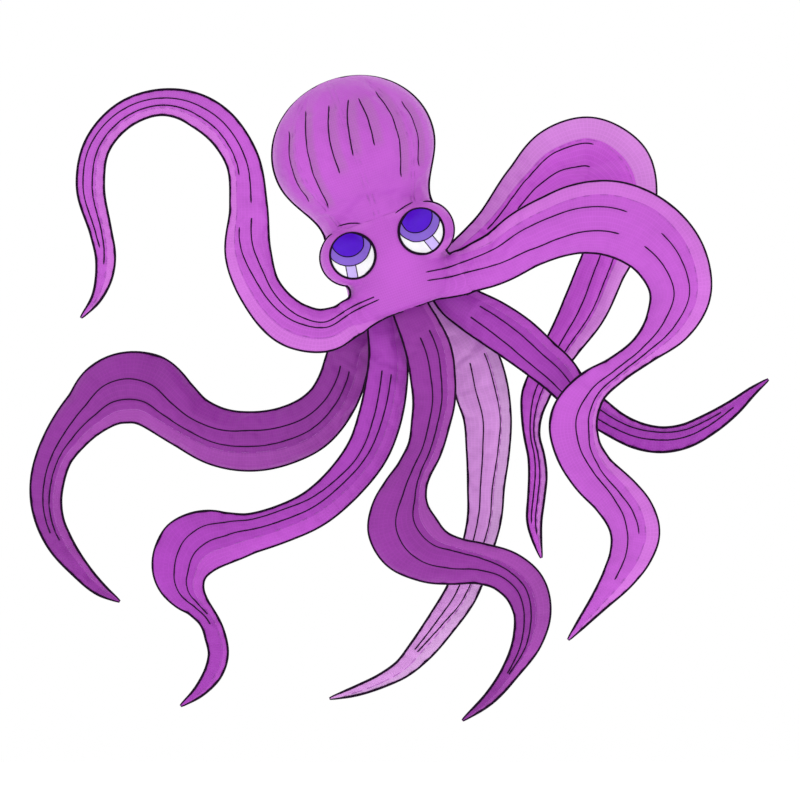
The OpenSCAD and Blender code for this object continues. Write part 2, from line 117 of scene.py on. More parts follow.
UP = np.array([-math.sin(HEAD_LEAN), 0, math.cos(HEAD_LEAN)])
ACROSS = np.array([math.cos(HEAD_LEAN), 0, math.sin(HEAD_LEAN)])
BACK = np.array([0, 1, 0])
BASE = np.array([TOW_H * math.sin(HEAD_LEAN), -(face_radius(TOW_H) + TAB_REACH),
                 -TOW_H * math.cos(HEAD_LEAN)])


def in_head(across, back, up):
    """A place given along the head's own axes. Numbers or arrays."""
    across, back, up = (np.asarray(x, float)[..., None] for x in (across, back, up))
    return BASE + across * ACROSS + back * BACK + up * UP


def to_head(points):
    """The across, back and up of places in the kite's frame."""
    away = np.asarray(points) - BASE
    return away @ ACROSS, away @ BACK, away @ UP


def smooth_step(x):
    x = np.clip(x, 0, 1)
    return x * x * (3 - 2 * x)


def unit(v):
    return v / np.maximum(np.linalg.norm(v, axis=-1, keepdims=True), 1e-12)


def around(count, extra=0):
    """Angles round a circle in count steps. extra adds the first ones again, a turn later."""
    return np.arange(count + extra) * 2 * math.pi / count


def round_head(radius, turn, up):
    """A place by its distance from the head's axis, its turn from the front, and its height."""
    return in_head(radius * np.sin(turn), -radius * np.cos(turn), up + 0 * turn)


def distances(path):
    """Length along a path up to each of its points."""
    return np.concatenate([[0], np.cumsum(np.linalg.norm(np.diff(path, axis=0), axis=1))])


def resampled(path, at):
    """The points of a path at some lengths along it."""
    s = distances(path)
    return np.stack([np.interp(at, s, path[:, k]) for k in range(path.shape[1])], -1)


def hermite(start, end, slope_in, slope_out, t):
    """A smooth run from start to end that leaves and arrives with these slopes, t from 0 to 1."""
    return (start * (2 * t**3 - 3 * t**2 + 1) + slope_in * (t**3 - 2 * t**2 + t)
            + end * (3 * t**2 - 2 * t**3) + slope_out * (t**3 - t**2))


def through(points, knot, slope, at):
    """A smooth curve through points at knot, with these slopes, read at some places along it."""
    i = np.clip(np.searchsorted(knot, at, side="right") - 1, 0, len(knot) - 2)
    gap = knot[i + 1] - knot[i]
    t = ((at - knot[i]) / gap)[:, None]
    gap = gap[:, None]
    return hermite(points[i], points[i + 1], slope[i] * gap, slope[i + 1] * gap, t)


def spline(points, count=None, step=0.006):
    """A smooth curve through a few points, evenly spaced."""
    points = np.asarray(points, float)
    knot = distances(points)
    fine = np.linspace(0, knot[-1], max(60, int(knot[-1] / 0.001)))
    curve = through(points, knot, np.gradient(points, knot, axis=0), fine)
    length = distances(curve)[-1]
    return resampled(curve, np.linspace(0, length, count or max(4, int(length / step))))


def smoothed(path, times=2, closed=False):
    """A path with its small steps smoothed out. Its ends stay unless it is closed."""
    path = path.copy()
    for _ in range(times):
        if closed:
            path = (np.roll(path, 1, 0) + 2 * path + np.roll(path, -1, 0)) / 4
        else:
            path[1:-1] = (path[:-2] + 2 * path[1:-1] + path[2:]) / 4
    return path


def tapered(path, radius, taper=0.006):
    """Radii that shrink to a blunt end over the last few millimetres of a cord."""
    s = distances(path)
    room = np.minimum(s, s[-1] - s) / taper
    return radius * (0.35 + 0.65 * np.sqrt(np.clip(room, 0, 1)))


def sheet_uv(u, v):
    """UVs of a grid from the U of its rows and the V of its columns."""
    return np.stack(np.meshgrid(u, v, indexing="ij"), -1)


# ---- meshes ----
def vertices(mesh, what="co"):
    """The places, or with "normal" the normals, of a mesh's vertices."""
    values = np.empty(len(mesh.vertices) * 3)
    mesh.vertices.foreach_get(what, values)
    return values.reshape(-1, 3)


def move_vertices(mesh, points):
    mesh.vertices.foreach_set("co", points.ravel())
    mesh.update()


def loop_vertices(mesh):
    """The vertex number of each face corner."""
    loops = np.empty(len(mesh.loops), int)
    mesh.loops.foreach_get("vertex_index", loops)
    return loops


def add_shade(mesh, values):
    """Stores how much of its second colour the cloth shows at each vertex. That colour is painted shade on
    the mantle and painted highlight on the face.
    """
    layer = mesh.attributes.new("shade", "FLOAT", "POINT")
    layer.data.foreach_set("value", values.astype(np.float32).ravel())


class Shape:
    """Gathers grids and tubes, with their UVs in metres and material numbers, into one mesh."""

    def __init__(self):
        self.points = []
        self.faces = []
        self.uvs = []
        self.slots = []
        self.count = 0

    def grid(self, points, uv, slots=0, wrap=False, flip=False):
        """Adds rows by columns of points. uv has one column more than points where the grid wraps."""
        rows, cols = points.shape[:2]
        cells = cols if wrap else cols - 1
        i, j = np.meshgrid(np.arange(rows - 1), np.arange(cells), indexing="ij")
        k = (j + 1) % cols
        corners = [(i, j, j), (i + 1, j, j), (i + 1, k, j + 1), (i, k, j + 1)]
        if flip:
            corners.reverse()
        faces = np.stack([a * cols + b for a, b, _ in corners], -1).reshape(-1, 4) + self.count
        self.points.append(points.reshape(-1, 3))
        self.faces.extend(faces.tolist())
        self.uvs.append(np.stack([uv[a, c] for a, _, c in corners], -2).reshape(-1, 2))
        self.slots.append(np.broadcast_to(slots, (rows - 1, cells)).reshape(-1))
        self.count += rows * cols
        return self

    def cap(self, first, length, flip=False):
        """Closes a ring of points, given by its first number (from the end if negative) and its length."""
        if first < 0:
            first += self.count
        face = list(range(first, first + length))
        self.faces.append(face[::-1] if flip else face)
        self.uvs.append(np.zeros((length, 2)))
        self.slots.append(np.array([0]))

    def make(self, name, materials):
        mesh = bpy.data.meshes.new(name)
        mesh.from_pydata(np.concatenate(self.points).tolist(), [], self.faces)
        layer = mesh.uv_layers.new(name="UVMap")
        layer.data.foreach_set("uv", np.concatenate(self.uvs).astype(np.float32).ravel())
        for material in materials:
            mesh.materials.append(material)
        mesh.polygons.foreach_set("material_index", np.concatenate(self.slots).astype(np.int32))
        mesh.polygons.foreach_set("use_smooth", [True] * len(mesh.polygons))
        mesh.update()
        obj = bpy.data.objects.new(name, mesh)
        SCENE.collection.objects.link(obj)
        return obj


def add_tube(shape, path, radius, out, flat=1.0, sides=8, closed=False):
    """Sweeps a round or flattened cord along a path. out is the way that its flat faces look."""
    path = np.asarray(path, float)
    if closed:
        way = unit(np.roll(path, -1, 0) - np.roll(path, 1, 0))
    else:
        way = unit(np.gradient(path, axis=0))
    out = np.broadcast_to(np.asarray(out, float), path.shape)
    out = unit(out - np.sum(out * way, -1, keepdims=True) * way)
    side = np.cross(way, out)
    turn = around(sides)
    radius = np.broadcast_to(np.asarray(radius, float), (len(path),))[:, None, None]
    ring = np.cos(turn)[None, :, None] * side[:, None] + flat * np.sin(turn)[None, :, None] * out[:, None]
    points = path[:, None] + radius * ring
    along = distances(path)
    if closed:
        points = np.concatenate([points, points[:1]])
        along = np.append(along, along[-1] + np.linalg.norm(path[0] - path[-1]))
    first = shape.count
    shape.grid(points, sheet_uv(along, around(sides, 1) * radius.max()), wrap=True)
    if not closed:
        shape.cap(first, sides)
        shape.cap(-sides, sides, flip=True)


def tree_of(*objects):
    """A search tree over the faces of some pieces."""
    points = []
    faces = []
    for obj in objects:
        first = len(points)
        points.extend(v.co.copy() for v in obj.data.vertices)
        faces.extend([first + i for i in p.vertices] for p in obj.data.polygons)
    return BVHTree.FromPolygons(points, faces)


def cast(tree, origins, ways, fallback):
    """Where rays meet the skin, or the fallback points where they miss. ways is one way, or one a ray."""
    ways = np.broadcast_to(ways, origins.shape)
    hits = [tree.ray_cast(Vector(o), Vector(w))[0] for o, w in zip(origins, ways)]
    return np.array([np.array(h) if h is not None else f for h, f in zip(hits, fallback)])


def nearest(tree, points):
    """The nearest places on the skin, and the skin's normals there."""
    found = [tree.find_nearest(Vector(p)) for p in points]
    return np.array([np.array(f[0]) for f in found]), np.array([np.array(f[1]) for f in found])


def fasten(obj, slot, *nodes, body="head"):
    """Puts a piece on its body, in place of CAD nodes if any are named. slot is not used."""
    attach(obj, body)
    if nodes:
        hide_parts(*nodes)


# ---- materials ----
def linear(colour):
    """A colour given in 0 to 255 steps, in the linear values that shaders take."""
    share = [c / 255 for c in colour]
    return tuple(((c + 0.055) / 1.055) ** 2.4 if c > 0.04045 else c / 12.92 for c in share) + (1.0,)


def tinted(colour, factor, plus=0):
    """A colour of 0 to 255 steps made lighter or darker, in linear values."""
    return linear([min(255, c * factor + plus) for c in colour])


class Nodes:
    """Short forms for building a node material."""

    def __init__(self, name):
        self.material = bpy.data.materials.new(name)
        self.material.use_nodes = True
        self.tree = self.material.node_tree
        self.shader = self.tree.nodes["Principled BSDF"]

    def feed(self, socket, value):
        """Links a socket to another node's output, or sets a plain value on it."""
        if isinstance(value, bpy.types.NodeSocket):
            self.tree.links.new(value, socket)
        else:
            socket.default_value = value

    def add(self, kind, values=None, **settings):
        node = self.tree.nodes.new("ShaderNode" + kind)
        for key, value in settings.items():
            setattr(node, key, value)
        for key, value in (values or {}).items():
            self.feed(node.inputs[key], value)
        return node

    def uv(self):
        return self.add("UVMap", uv_map="UVMap").outputs[0]

    def place(self):
        return self.add("TexCoord").outputs["Object"]

    def split(self, vector):
        return self.add("SeparateXYZ", {0: vector}).outputs

    def math(self, operation, a, b=0.0, c=0.0):
        return self.add("Math", {0: a, 1: b, 2: c}, operation=operation).outputs[0]

    def ramp(self, value, low, high, to_low=0.0, to_high=1.0):
        return self.add("MapRange", {0: value, 1: low, 2: high, 3: to_low, 4: to_high}).outputs[0]

    def mix(self, share, a, b):
        return self.add("Mix", {0: share, 6: a, 7: b}, data_type="RGBA").outputs[2]

    def noise(self, place, scale, detail=3.0, rough=0.5):
        values = {"Vector": place, "Scale": scale, "Detail": detail, "Roughness": rough}
        return self.add("TexNoise", values).outputs[0]

    def bump(self, height, distance, strength=1.0, after=None):
        values = {"Height": height, "Distance": distance, "Strength": strength}
        if after is not None:
            values["Normal"] = after
        return self.add("Bump", values).outputs[0]

    def set(self, **values):
        names = {"colour": "Base Color", "roughness": "Roughness", "normal": "Normal", "metallic": "Metallic",
                 "sheen": "Sheen Weight", "sheen_roughness": "Sheen Roughness", "coat": "Coat Weight",
                 "coat_roughness": "Coat Roughness", "specular": "Specular IOR Level", "alpha": "Alpha"}
        for key, value in values.items():
            self.feed(self.shader.inputs[names[key]], value)
        return self.material

    def threads(self, place, pitch, low=0.36):
        """1 on a square grid of raised threads with that pitch, and 0 between them."""
        parts = self.split(place)
        lines = []
        for axis in (0, 1):
            cell = self.math("FRACT", self.math("DIVIDE", parts[axis], pitch))
            lines.append(self.ramp(self.math("ABSOLUTE", self.math("SUBTRACT", cell, 0.5)), low, 0.5))
        return self.math("MAXIMUM", *lines)

    def wave(self, value, pitch):
        return self.math("SINE", self.math("MULTIPLY", value, 2 * math.pi / pitch))

    def weave(self, place, pitch):
        """Height of a plain weave with that pitch."""
        parts = self.split(place)
        return self.math("MULTIPLY", self.wave(parts[0], pitch), self.wave(parts[1], pitch))


STITCH_PITCH = 0.004
TWILL_PITCH = 0.0012


def ripstop(name, colour, shade=None):
    """Coated ripstop nylon: a fine weave, a square grid of heavier threads, a soft shine, small creases.

    A second colour, if one is given as shade, covers it where the mesh's shade says so: painted shade beside
    the mantle's darts, and painted highlight on the face.
    """
    n = Nodes(name)
    uv = n.uv()
    place = n.place()
    threads = n.threads(uv, 0.0065)
    tone = n.noise(place, 5.0, 4.0, 0.55)
    fine = n.noise(place, 90.0, 3.0, 0.6)
    base = linear(colour)
    dull = tinted(colour, 0.93)
    bright = tinted(colour, 1.045, 4)
    cloth = n.mix(n.ramp(tone, 0.35, 0.65), dull, bright)
    cloth = n.mix(0.45, base, cloth)
    if shade is not None:
        cover = n.add("Attribute", attribute_name="shade").outputs["Fac"]
        cloth = n.mix(cover, cloth, linear(shade))
    cloth = n.mix(n.math("MULTIPLY", threads, 0.40), cloth, tinted(colour, 1.09, 8))
    squeezed = n.add("Mapping", {"Vector": place, "Scale": (1.0, 1.0, 1.6)}).outputs[0]
    creases = n.noise(squeezed, 22.0, 4.0, 0.55)
    normal = n.bump(creases, 0.004, 0.45)
    normal = n.bump(threads, 0.0004, 0.6, normal)
    normal = n.bump(n.weave(uv, 0.0011), 0.0001, 0.35, normal)
    rough = n.ramp(fine, 0.3, 0.7, 0.42, 0.56)
    return n.set(colour=cloth, roughness=rough, normal=normal, sheen=0.06, sheen_roughness=0.45,
                 coat=0.04, coat_roughness=0.35, specular=0.28)


def woven(name, colour, pitch=0.0016, bump=0.0004, rough=0.7, stitch=None, lustre=0.2):
    """Tape, binding or webbing: a coarse weave along its length, with stitches if their colour is given."""
    n = Nodes(name)
    uv = n.uv()
    place = n.place()
    weave = n.weave(uv, pitch)
    tone = n.noise(place, 60.0, 3.0, 0.6)
    cloth = n.mix(n.ramp(tone, 0.3, 0.7), tinted(colour, 0.8), tinted(colour, 1.15, 3))
    cloth = n.mix(n.ramp(weave, -1.0, 1.0, 0.0, 0.35), cloth, tinted(colour, 1.3, 8))
    if stitch is not None:
        dash = n.ramp(n.wave(n.split(uv)[0], STITCH_PITCH), 0.0, 0.3)
        cloth = n.mix(n.math("MULTIPLY", dash, 0.5), cloth, linear(stitch))
    normal = n.bump(weave, bump, 0.7)
    return n.set(colour=cloth, roughness=rough, normal=normal, sheen=lustre, sheen_roughness=0.5,
                 specular=lustre)


def satin(name, colour, rough=0.38, lustre=0.4):
    """Smooth appliqué cloth with a fine twill and a soft lustre."""
    n = Nodes(name)
    place = n.place()
    parts = n.split(place)
    twill = n.wave(n.math("ADD", parts[0], n.math("MULTIPLY", parts[2], 0.6)), TWILL_PITCH)
    tone = n.noise(place, 30.0, 3.0, 0.55)
    cloth = n.mix(n.ramp(tone, 0.3, 0.7), tinted(colour, 0.96), tinted(colour, 1.02, 1))
    normal = n.bump(n.noise(place, 45.0, 3.0, 0.5), 0.0012, 0.35)
    normal = n.bump(twill, 0.0001, 0.4, normal)
    return n.set(colour=cloth, roughness=n.ramp(tone, 0.3, 0.7, rough - 0.05, rough + 0.06), normal=normal,
                 sheen=0.3 * lustre, sheen_roughness=0.4, specular=lustre)


def metal(name, colour, rough, scratch=0.00005):
    """Plated metal with fine handling marks."""
    n = Nodes(name)
    place = n.place()
    marks = n.noise(n.add("Mapping", {"Vector": place, "Scale": (1.0, 6.0, 1.0)}).outputs[0], 400.0, 4.0, 0.7)
    stain = n.noise(place, 70.0, 3.0, 0.5)
    tint = n.mix(n.ramp(stain, 0.35, 0.7), linear(colour), tinted(colour, 0.78))
    return n.set(colour=tint, metallic=1.0, roughness=n.ramp(stain, 0.3, 0.7, rough, rough + 0.15),
                 normal=n.bump(marks, scratch, 0.5))


def plastic(name, colour, rough):
    """Moulded or drawn plastic with a faint grain."""
    n = Nodes(name)
    place = n.place()
    grain = n.noise(place, 500.0, 3.0, 0.6)
    tint = n.mix(n.ramp(n.noise(place, 40.0), 0.35, 0.65), tinted(colour, 0.9), tinted(colour, 1.1, 2))
    return n.set(colour=tint, roughness=n.ramp(grain, 0.3, 0.7, rough - 0.06, rough + 0.08),
                 normal=n.bump(grain, 0.0001, 0.4), coat=0.1)


PURPLE = (179, 78, 193)
CLOTH = {
    # the purple's shade colour is painted shade, laid beside the mantle's darts
    "purple": ripstop("purple_ripstop", PURPLE, shade=(166, 90, 174)),
    # the _band cloths are paler copies of each arm's cloth: a sewn band whose paler colour is a painted
    # highlight along one side of the arm
    "purple_band": ripstop("purple_band_ripstop", (192, 100, 202)),
    "rear": ripstop("rear_purple_ripstop", (194, 82, 207)),
    "rear_band": ripstop("rear_highlight_band_ripstop", (201, 122, 209)),
    "dark": ripstop("dark_ripstop", (133, 37, 144)),
    "dark_band": ripstop("dark_highlight_band_ripstop", (149, 58, 158)),
    "plum": ripstop("plum_ripstop", (154, 50, 170)),
    "plum_band": ripstop("plum_highlight_band_ripstop", (168, 64, 182)),
    "pale": ripstop("pale_ripstop", (206, 142, 214)),
    "pale_band": ripstop("pale_highlight_band_ripstop", (199, 150, 206)),
}
# its shade colour is lighter: painted highlight over the eyes and where the arms' bands run into the face
FACE_CLOTH = ripstop("face_ripstop", PURPLE, shade=(192, 100, 202))
PIPING = woven("dark_piping", (24, 4, 30), 0.0018, 0.0003, 0.7, lustre=0.04)
THREAD = woven("seam_thread", (28, 4, 36), 0.0012, 0.0003, 0.7, stitch=(58, 16, 68), lustre=0.04)
TOPSTITCH = woven("topstitch_thread", (150, 66, 164), 0.0012, 0.0003, 0.6, stitch=(206, 120, 218))
WEBBING = woven("dark_webbing", (58, 22, 66), 0.0022, 0.0006, 0.8)
WHITE = satin("white_cloth", (238, 237, 241))
IRIS = satin("iris_cloth", (121, 82, 194))
PUPIL = satin("pupil_cloth", (78, 8, 194), lustre=0.15)
GLINT = satin("glint_cloth", (190, 168, 234))
BRASS = metal("brass", (214, 172, 96), 0.24)
NICKEL = metal("nickel", (196, 192, 184), 0.28)
NYLON = plastic("zip_nylon", (58, 34, 64), 0.42)
ROD = plastic("glass_fibre", (112, 112, 104), 0.35)
MESH = woven("mesh_cloth", (34, 26, 40), 0.0009, 0.0002, 0.7)
BAFFLE = ripstop("baffle_ripstop", (208, 160, 216))


# ---- cloth simulation ----
CLOTH_SETTINGS = dict(quality=5, mass=0.12, tension_stiffness=12, compression_stiffness=8, shear_stiffness=4,
                      bending_stiffness=0.08, air_damping=2.0, use_pressure=True, pin_stiffness=1.0)
CLOTH_FRAMES = 20
ARM_PUFF = dict(pressure=5.0, growth=0.05, cap=0.008)
MANTLE_PUFF = dict(pressure=4.0, growth=0.030, cap=0.007)


def blow_up(obj, pins, pressure, growth, cap, stiff_way):
    """Blows cloth up between its pinned points, holds each point within cap of its start, and keeps that.

    stiff_way takes away each point's movement along that way, by the length of the way.
    """
    group = obj.vertex_groups.new(name="pins")
    group.add(np.flatnonzero(pins).tolist(), 1.0, "REPLACE")
    cloth = obj.modifiers.new("Cloth", "CLOTH")
    for key, value in CLOTH_SETTINGS.items():
        setattr(cloth.settings, key, value)
    cloth.settings.uniform_pressure_force = pressure
    cloth.settings.shrink_min = -growth
    cloth.settings.vertex_group_mass = "pins"
    cloth.settings.effector_weights.gravity = 0.0
    cloth.point_cache.frame_start = 1
    cloth.point_cache.frame_end = CLOTH_FRAMES
    start = vertices(obj.data)
    for number in range(1, CLOTH_FRAMES + 1):
        SCENE.frame_set(number)
    moved = vertices(obj.evaluated_get(bpy.context.evaluated_depsgraph_get()).data) - start
    moved -= np.sum(moved * stiff_way, 1, keepdims=True) * unit(stiff_way)
    far = np.linalg.norm(moved, axis=1, keepdims=True)
    moved *= np.minimum(1, cap / np.maximum(far, 1e-9)) * (1 - pins[:, None])
    obj.modifiers.remove(cloth)
    obj.vertex_groups.clear()
    move_vertices(obj.data, start + moved)
    SCENE.frame_set(1)


def applied(obj, levels=None):
    """Makes obj's modifiers, and a subdivision if levels is given, part of its mesh."""
    if levels is not None:
        modifier = obj.modifiers.new("Round", "SUBSURF")
        modifier.levels = modifier.render_levels = levels
    bpy.context.view_layer.update()
    mesh = bpy.data.meshes.new_from_object(obj.evaluated_get(bpy.context.evaluated_depsgraph_get()))
    obj.modifiers.clear()
    obj.data = mesh
    return obj


def melted(obj, voxel, rounds, material):
    """Runs obj's closed shapes into one skin of small cells, and smooths it."""
    remesh = obj.modifiers.new("Remesh", "REMESH")
    remesh.mode = "VOXEL"
    remesh.voxel_size = voxel
    smooth = obj.modifiers.new("Smooth", "SMOOTH")
    smooth.factor = 0.5
    smooth.iterations = rounds
    mesh = applied(obj).data
    mesh.materials.clear()
    mesh.materials.append(material)
    mesh.polygons.foreach_set("use_smooth", [True] * len(mesh.polygons))
    return mesh


def part_of(obj, name, keep):
    """A new piece with the faces whose mean U, the length along the piece, passes keep."""
    source = obj.data
    uv = np.empty(len(source.loops) * 2)
    source.uv_layers[0].data.foreach_get("uv", uv)
    uv = uv.reshape(-1, 2)
    loops = loop_vertices(source)
    shape = Shape()
    faces = []
    slots = []
    for polygon in source.polygons:
        span = slice(polygon.loop_start, polygon.loop_start + polygon.loop_total)
        if keep(uv[span, 0].mean()):
            faces.append(loops[span])
            shape.uvs.append(uv[span])
            slots.append(polygon.material_index)
    used, inverse = np.unique(np.concatenate(faces), return_inverse=True)
    ends = np.cumsum([len(f) for f in faces])[:-1]
    shape.points.append(vertices(source)[used])
    shape.faces = [f.tolist() for f in np.split(inverse, ends)]
    shape.slots.append(np.array(slots))
    return shape.make(name, list(source.materials))


# ---- camera, light and stage: the kite's middle plane fills a two-metre frame ----
VIEW_CENTRE = Vector((0.0, BASE[1], -0.30))
VIEW_DISTANCE = 60.0
FRAME_WIDTH = 2.0

camera = bpy.data.objects.new("camera", bpy.data.cameras.new("camera"))
SCENE.collection.objects.link(camera)
camera.data.sensor_width = 36
camera.data.lens = camera.data.sensor_width * VIEW_DISTANCE / FRAME_WIDTH
camera.data.clip_end = 200
camera.location = VIEW_CENTRE - Vector((0, VIEW_DISTANCE, 0))
camera.rotation_euler = (math.pi / 2, 0, 0)
SCENE.camera = camera
SCENE.view_settings.view_transform = "Standard"


def area_light(name, place, aim, size, power):
    light = bpy.data.lights.new(name, "AREA")
    light.size = size
    light.energy = power
    obj = bpy.data.objects.new(name, light)
    obj.location = place
    obj.rotation_mode = "QUATERNION"
    obj.rotation_quaternion = (Vector(aim) - Vector(place)).to_track_quat("-Z", "Y")
    SCENE.collection.objects.link(obj)


area_light("key", (-2.6, -4.2, 3.0), (0, -0.2, -0.2), 3.0, 27)
area_light("fill", (3.4, -3.8, 0.6), (0, -0.2, -0.3), 3.0, 8)
area_light("rim", (0.6, 3.0, 3.2), (0, 0, -0.1), 2.5, 8)

SCENE.world = bpy.data.worlds.new("studio")
SCENE.world.use_nodes = True
SCENE.world.node_tree.nodes["Background"].inputs[0].default_value = (1, 1, 1, 1)
SCENE.world.node_tree.nodes["Background"].inputs[1].default_value = 1.0


def stage():
    """A plain pale floor under the kite, as bright as the white surroundings."""
    half = 6.0
    height = -1.30             # clear under the lowest arm's tip
    side = np.array([-half, half])
    points = np.stack(np.broadcast_arrays(side[None, :], side[:, None], height), -1)
    n = Nodes("studio_paper")
    place = n.place()
    grain = n.noise(place, 300.0, 2.0, 0.5)
    n.shader.inputs["Emission Color"].default_value = (1, 1, 1, 1)
    n.shader.inputs["Emission Strength"].default_value = 0.4
    paper = n.set(colour=(0.93, 0.93, 0.93, 1), roughness=0.9, specular=0.1,
                  normal=n.bump(grain, 0.0005, 0.2))
    Shape().grid(points, points[..., :2], flip=True).make("studio_floor", [paper])


stage()

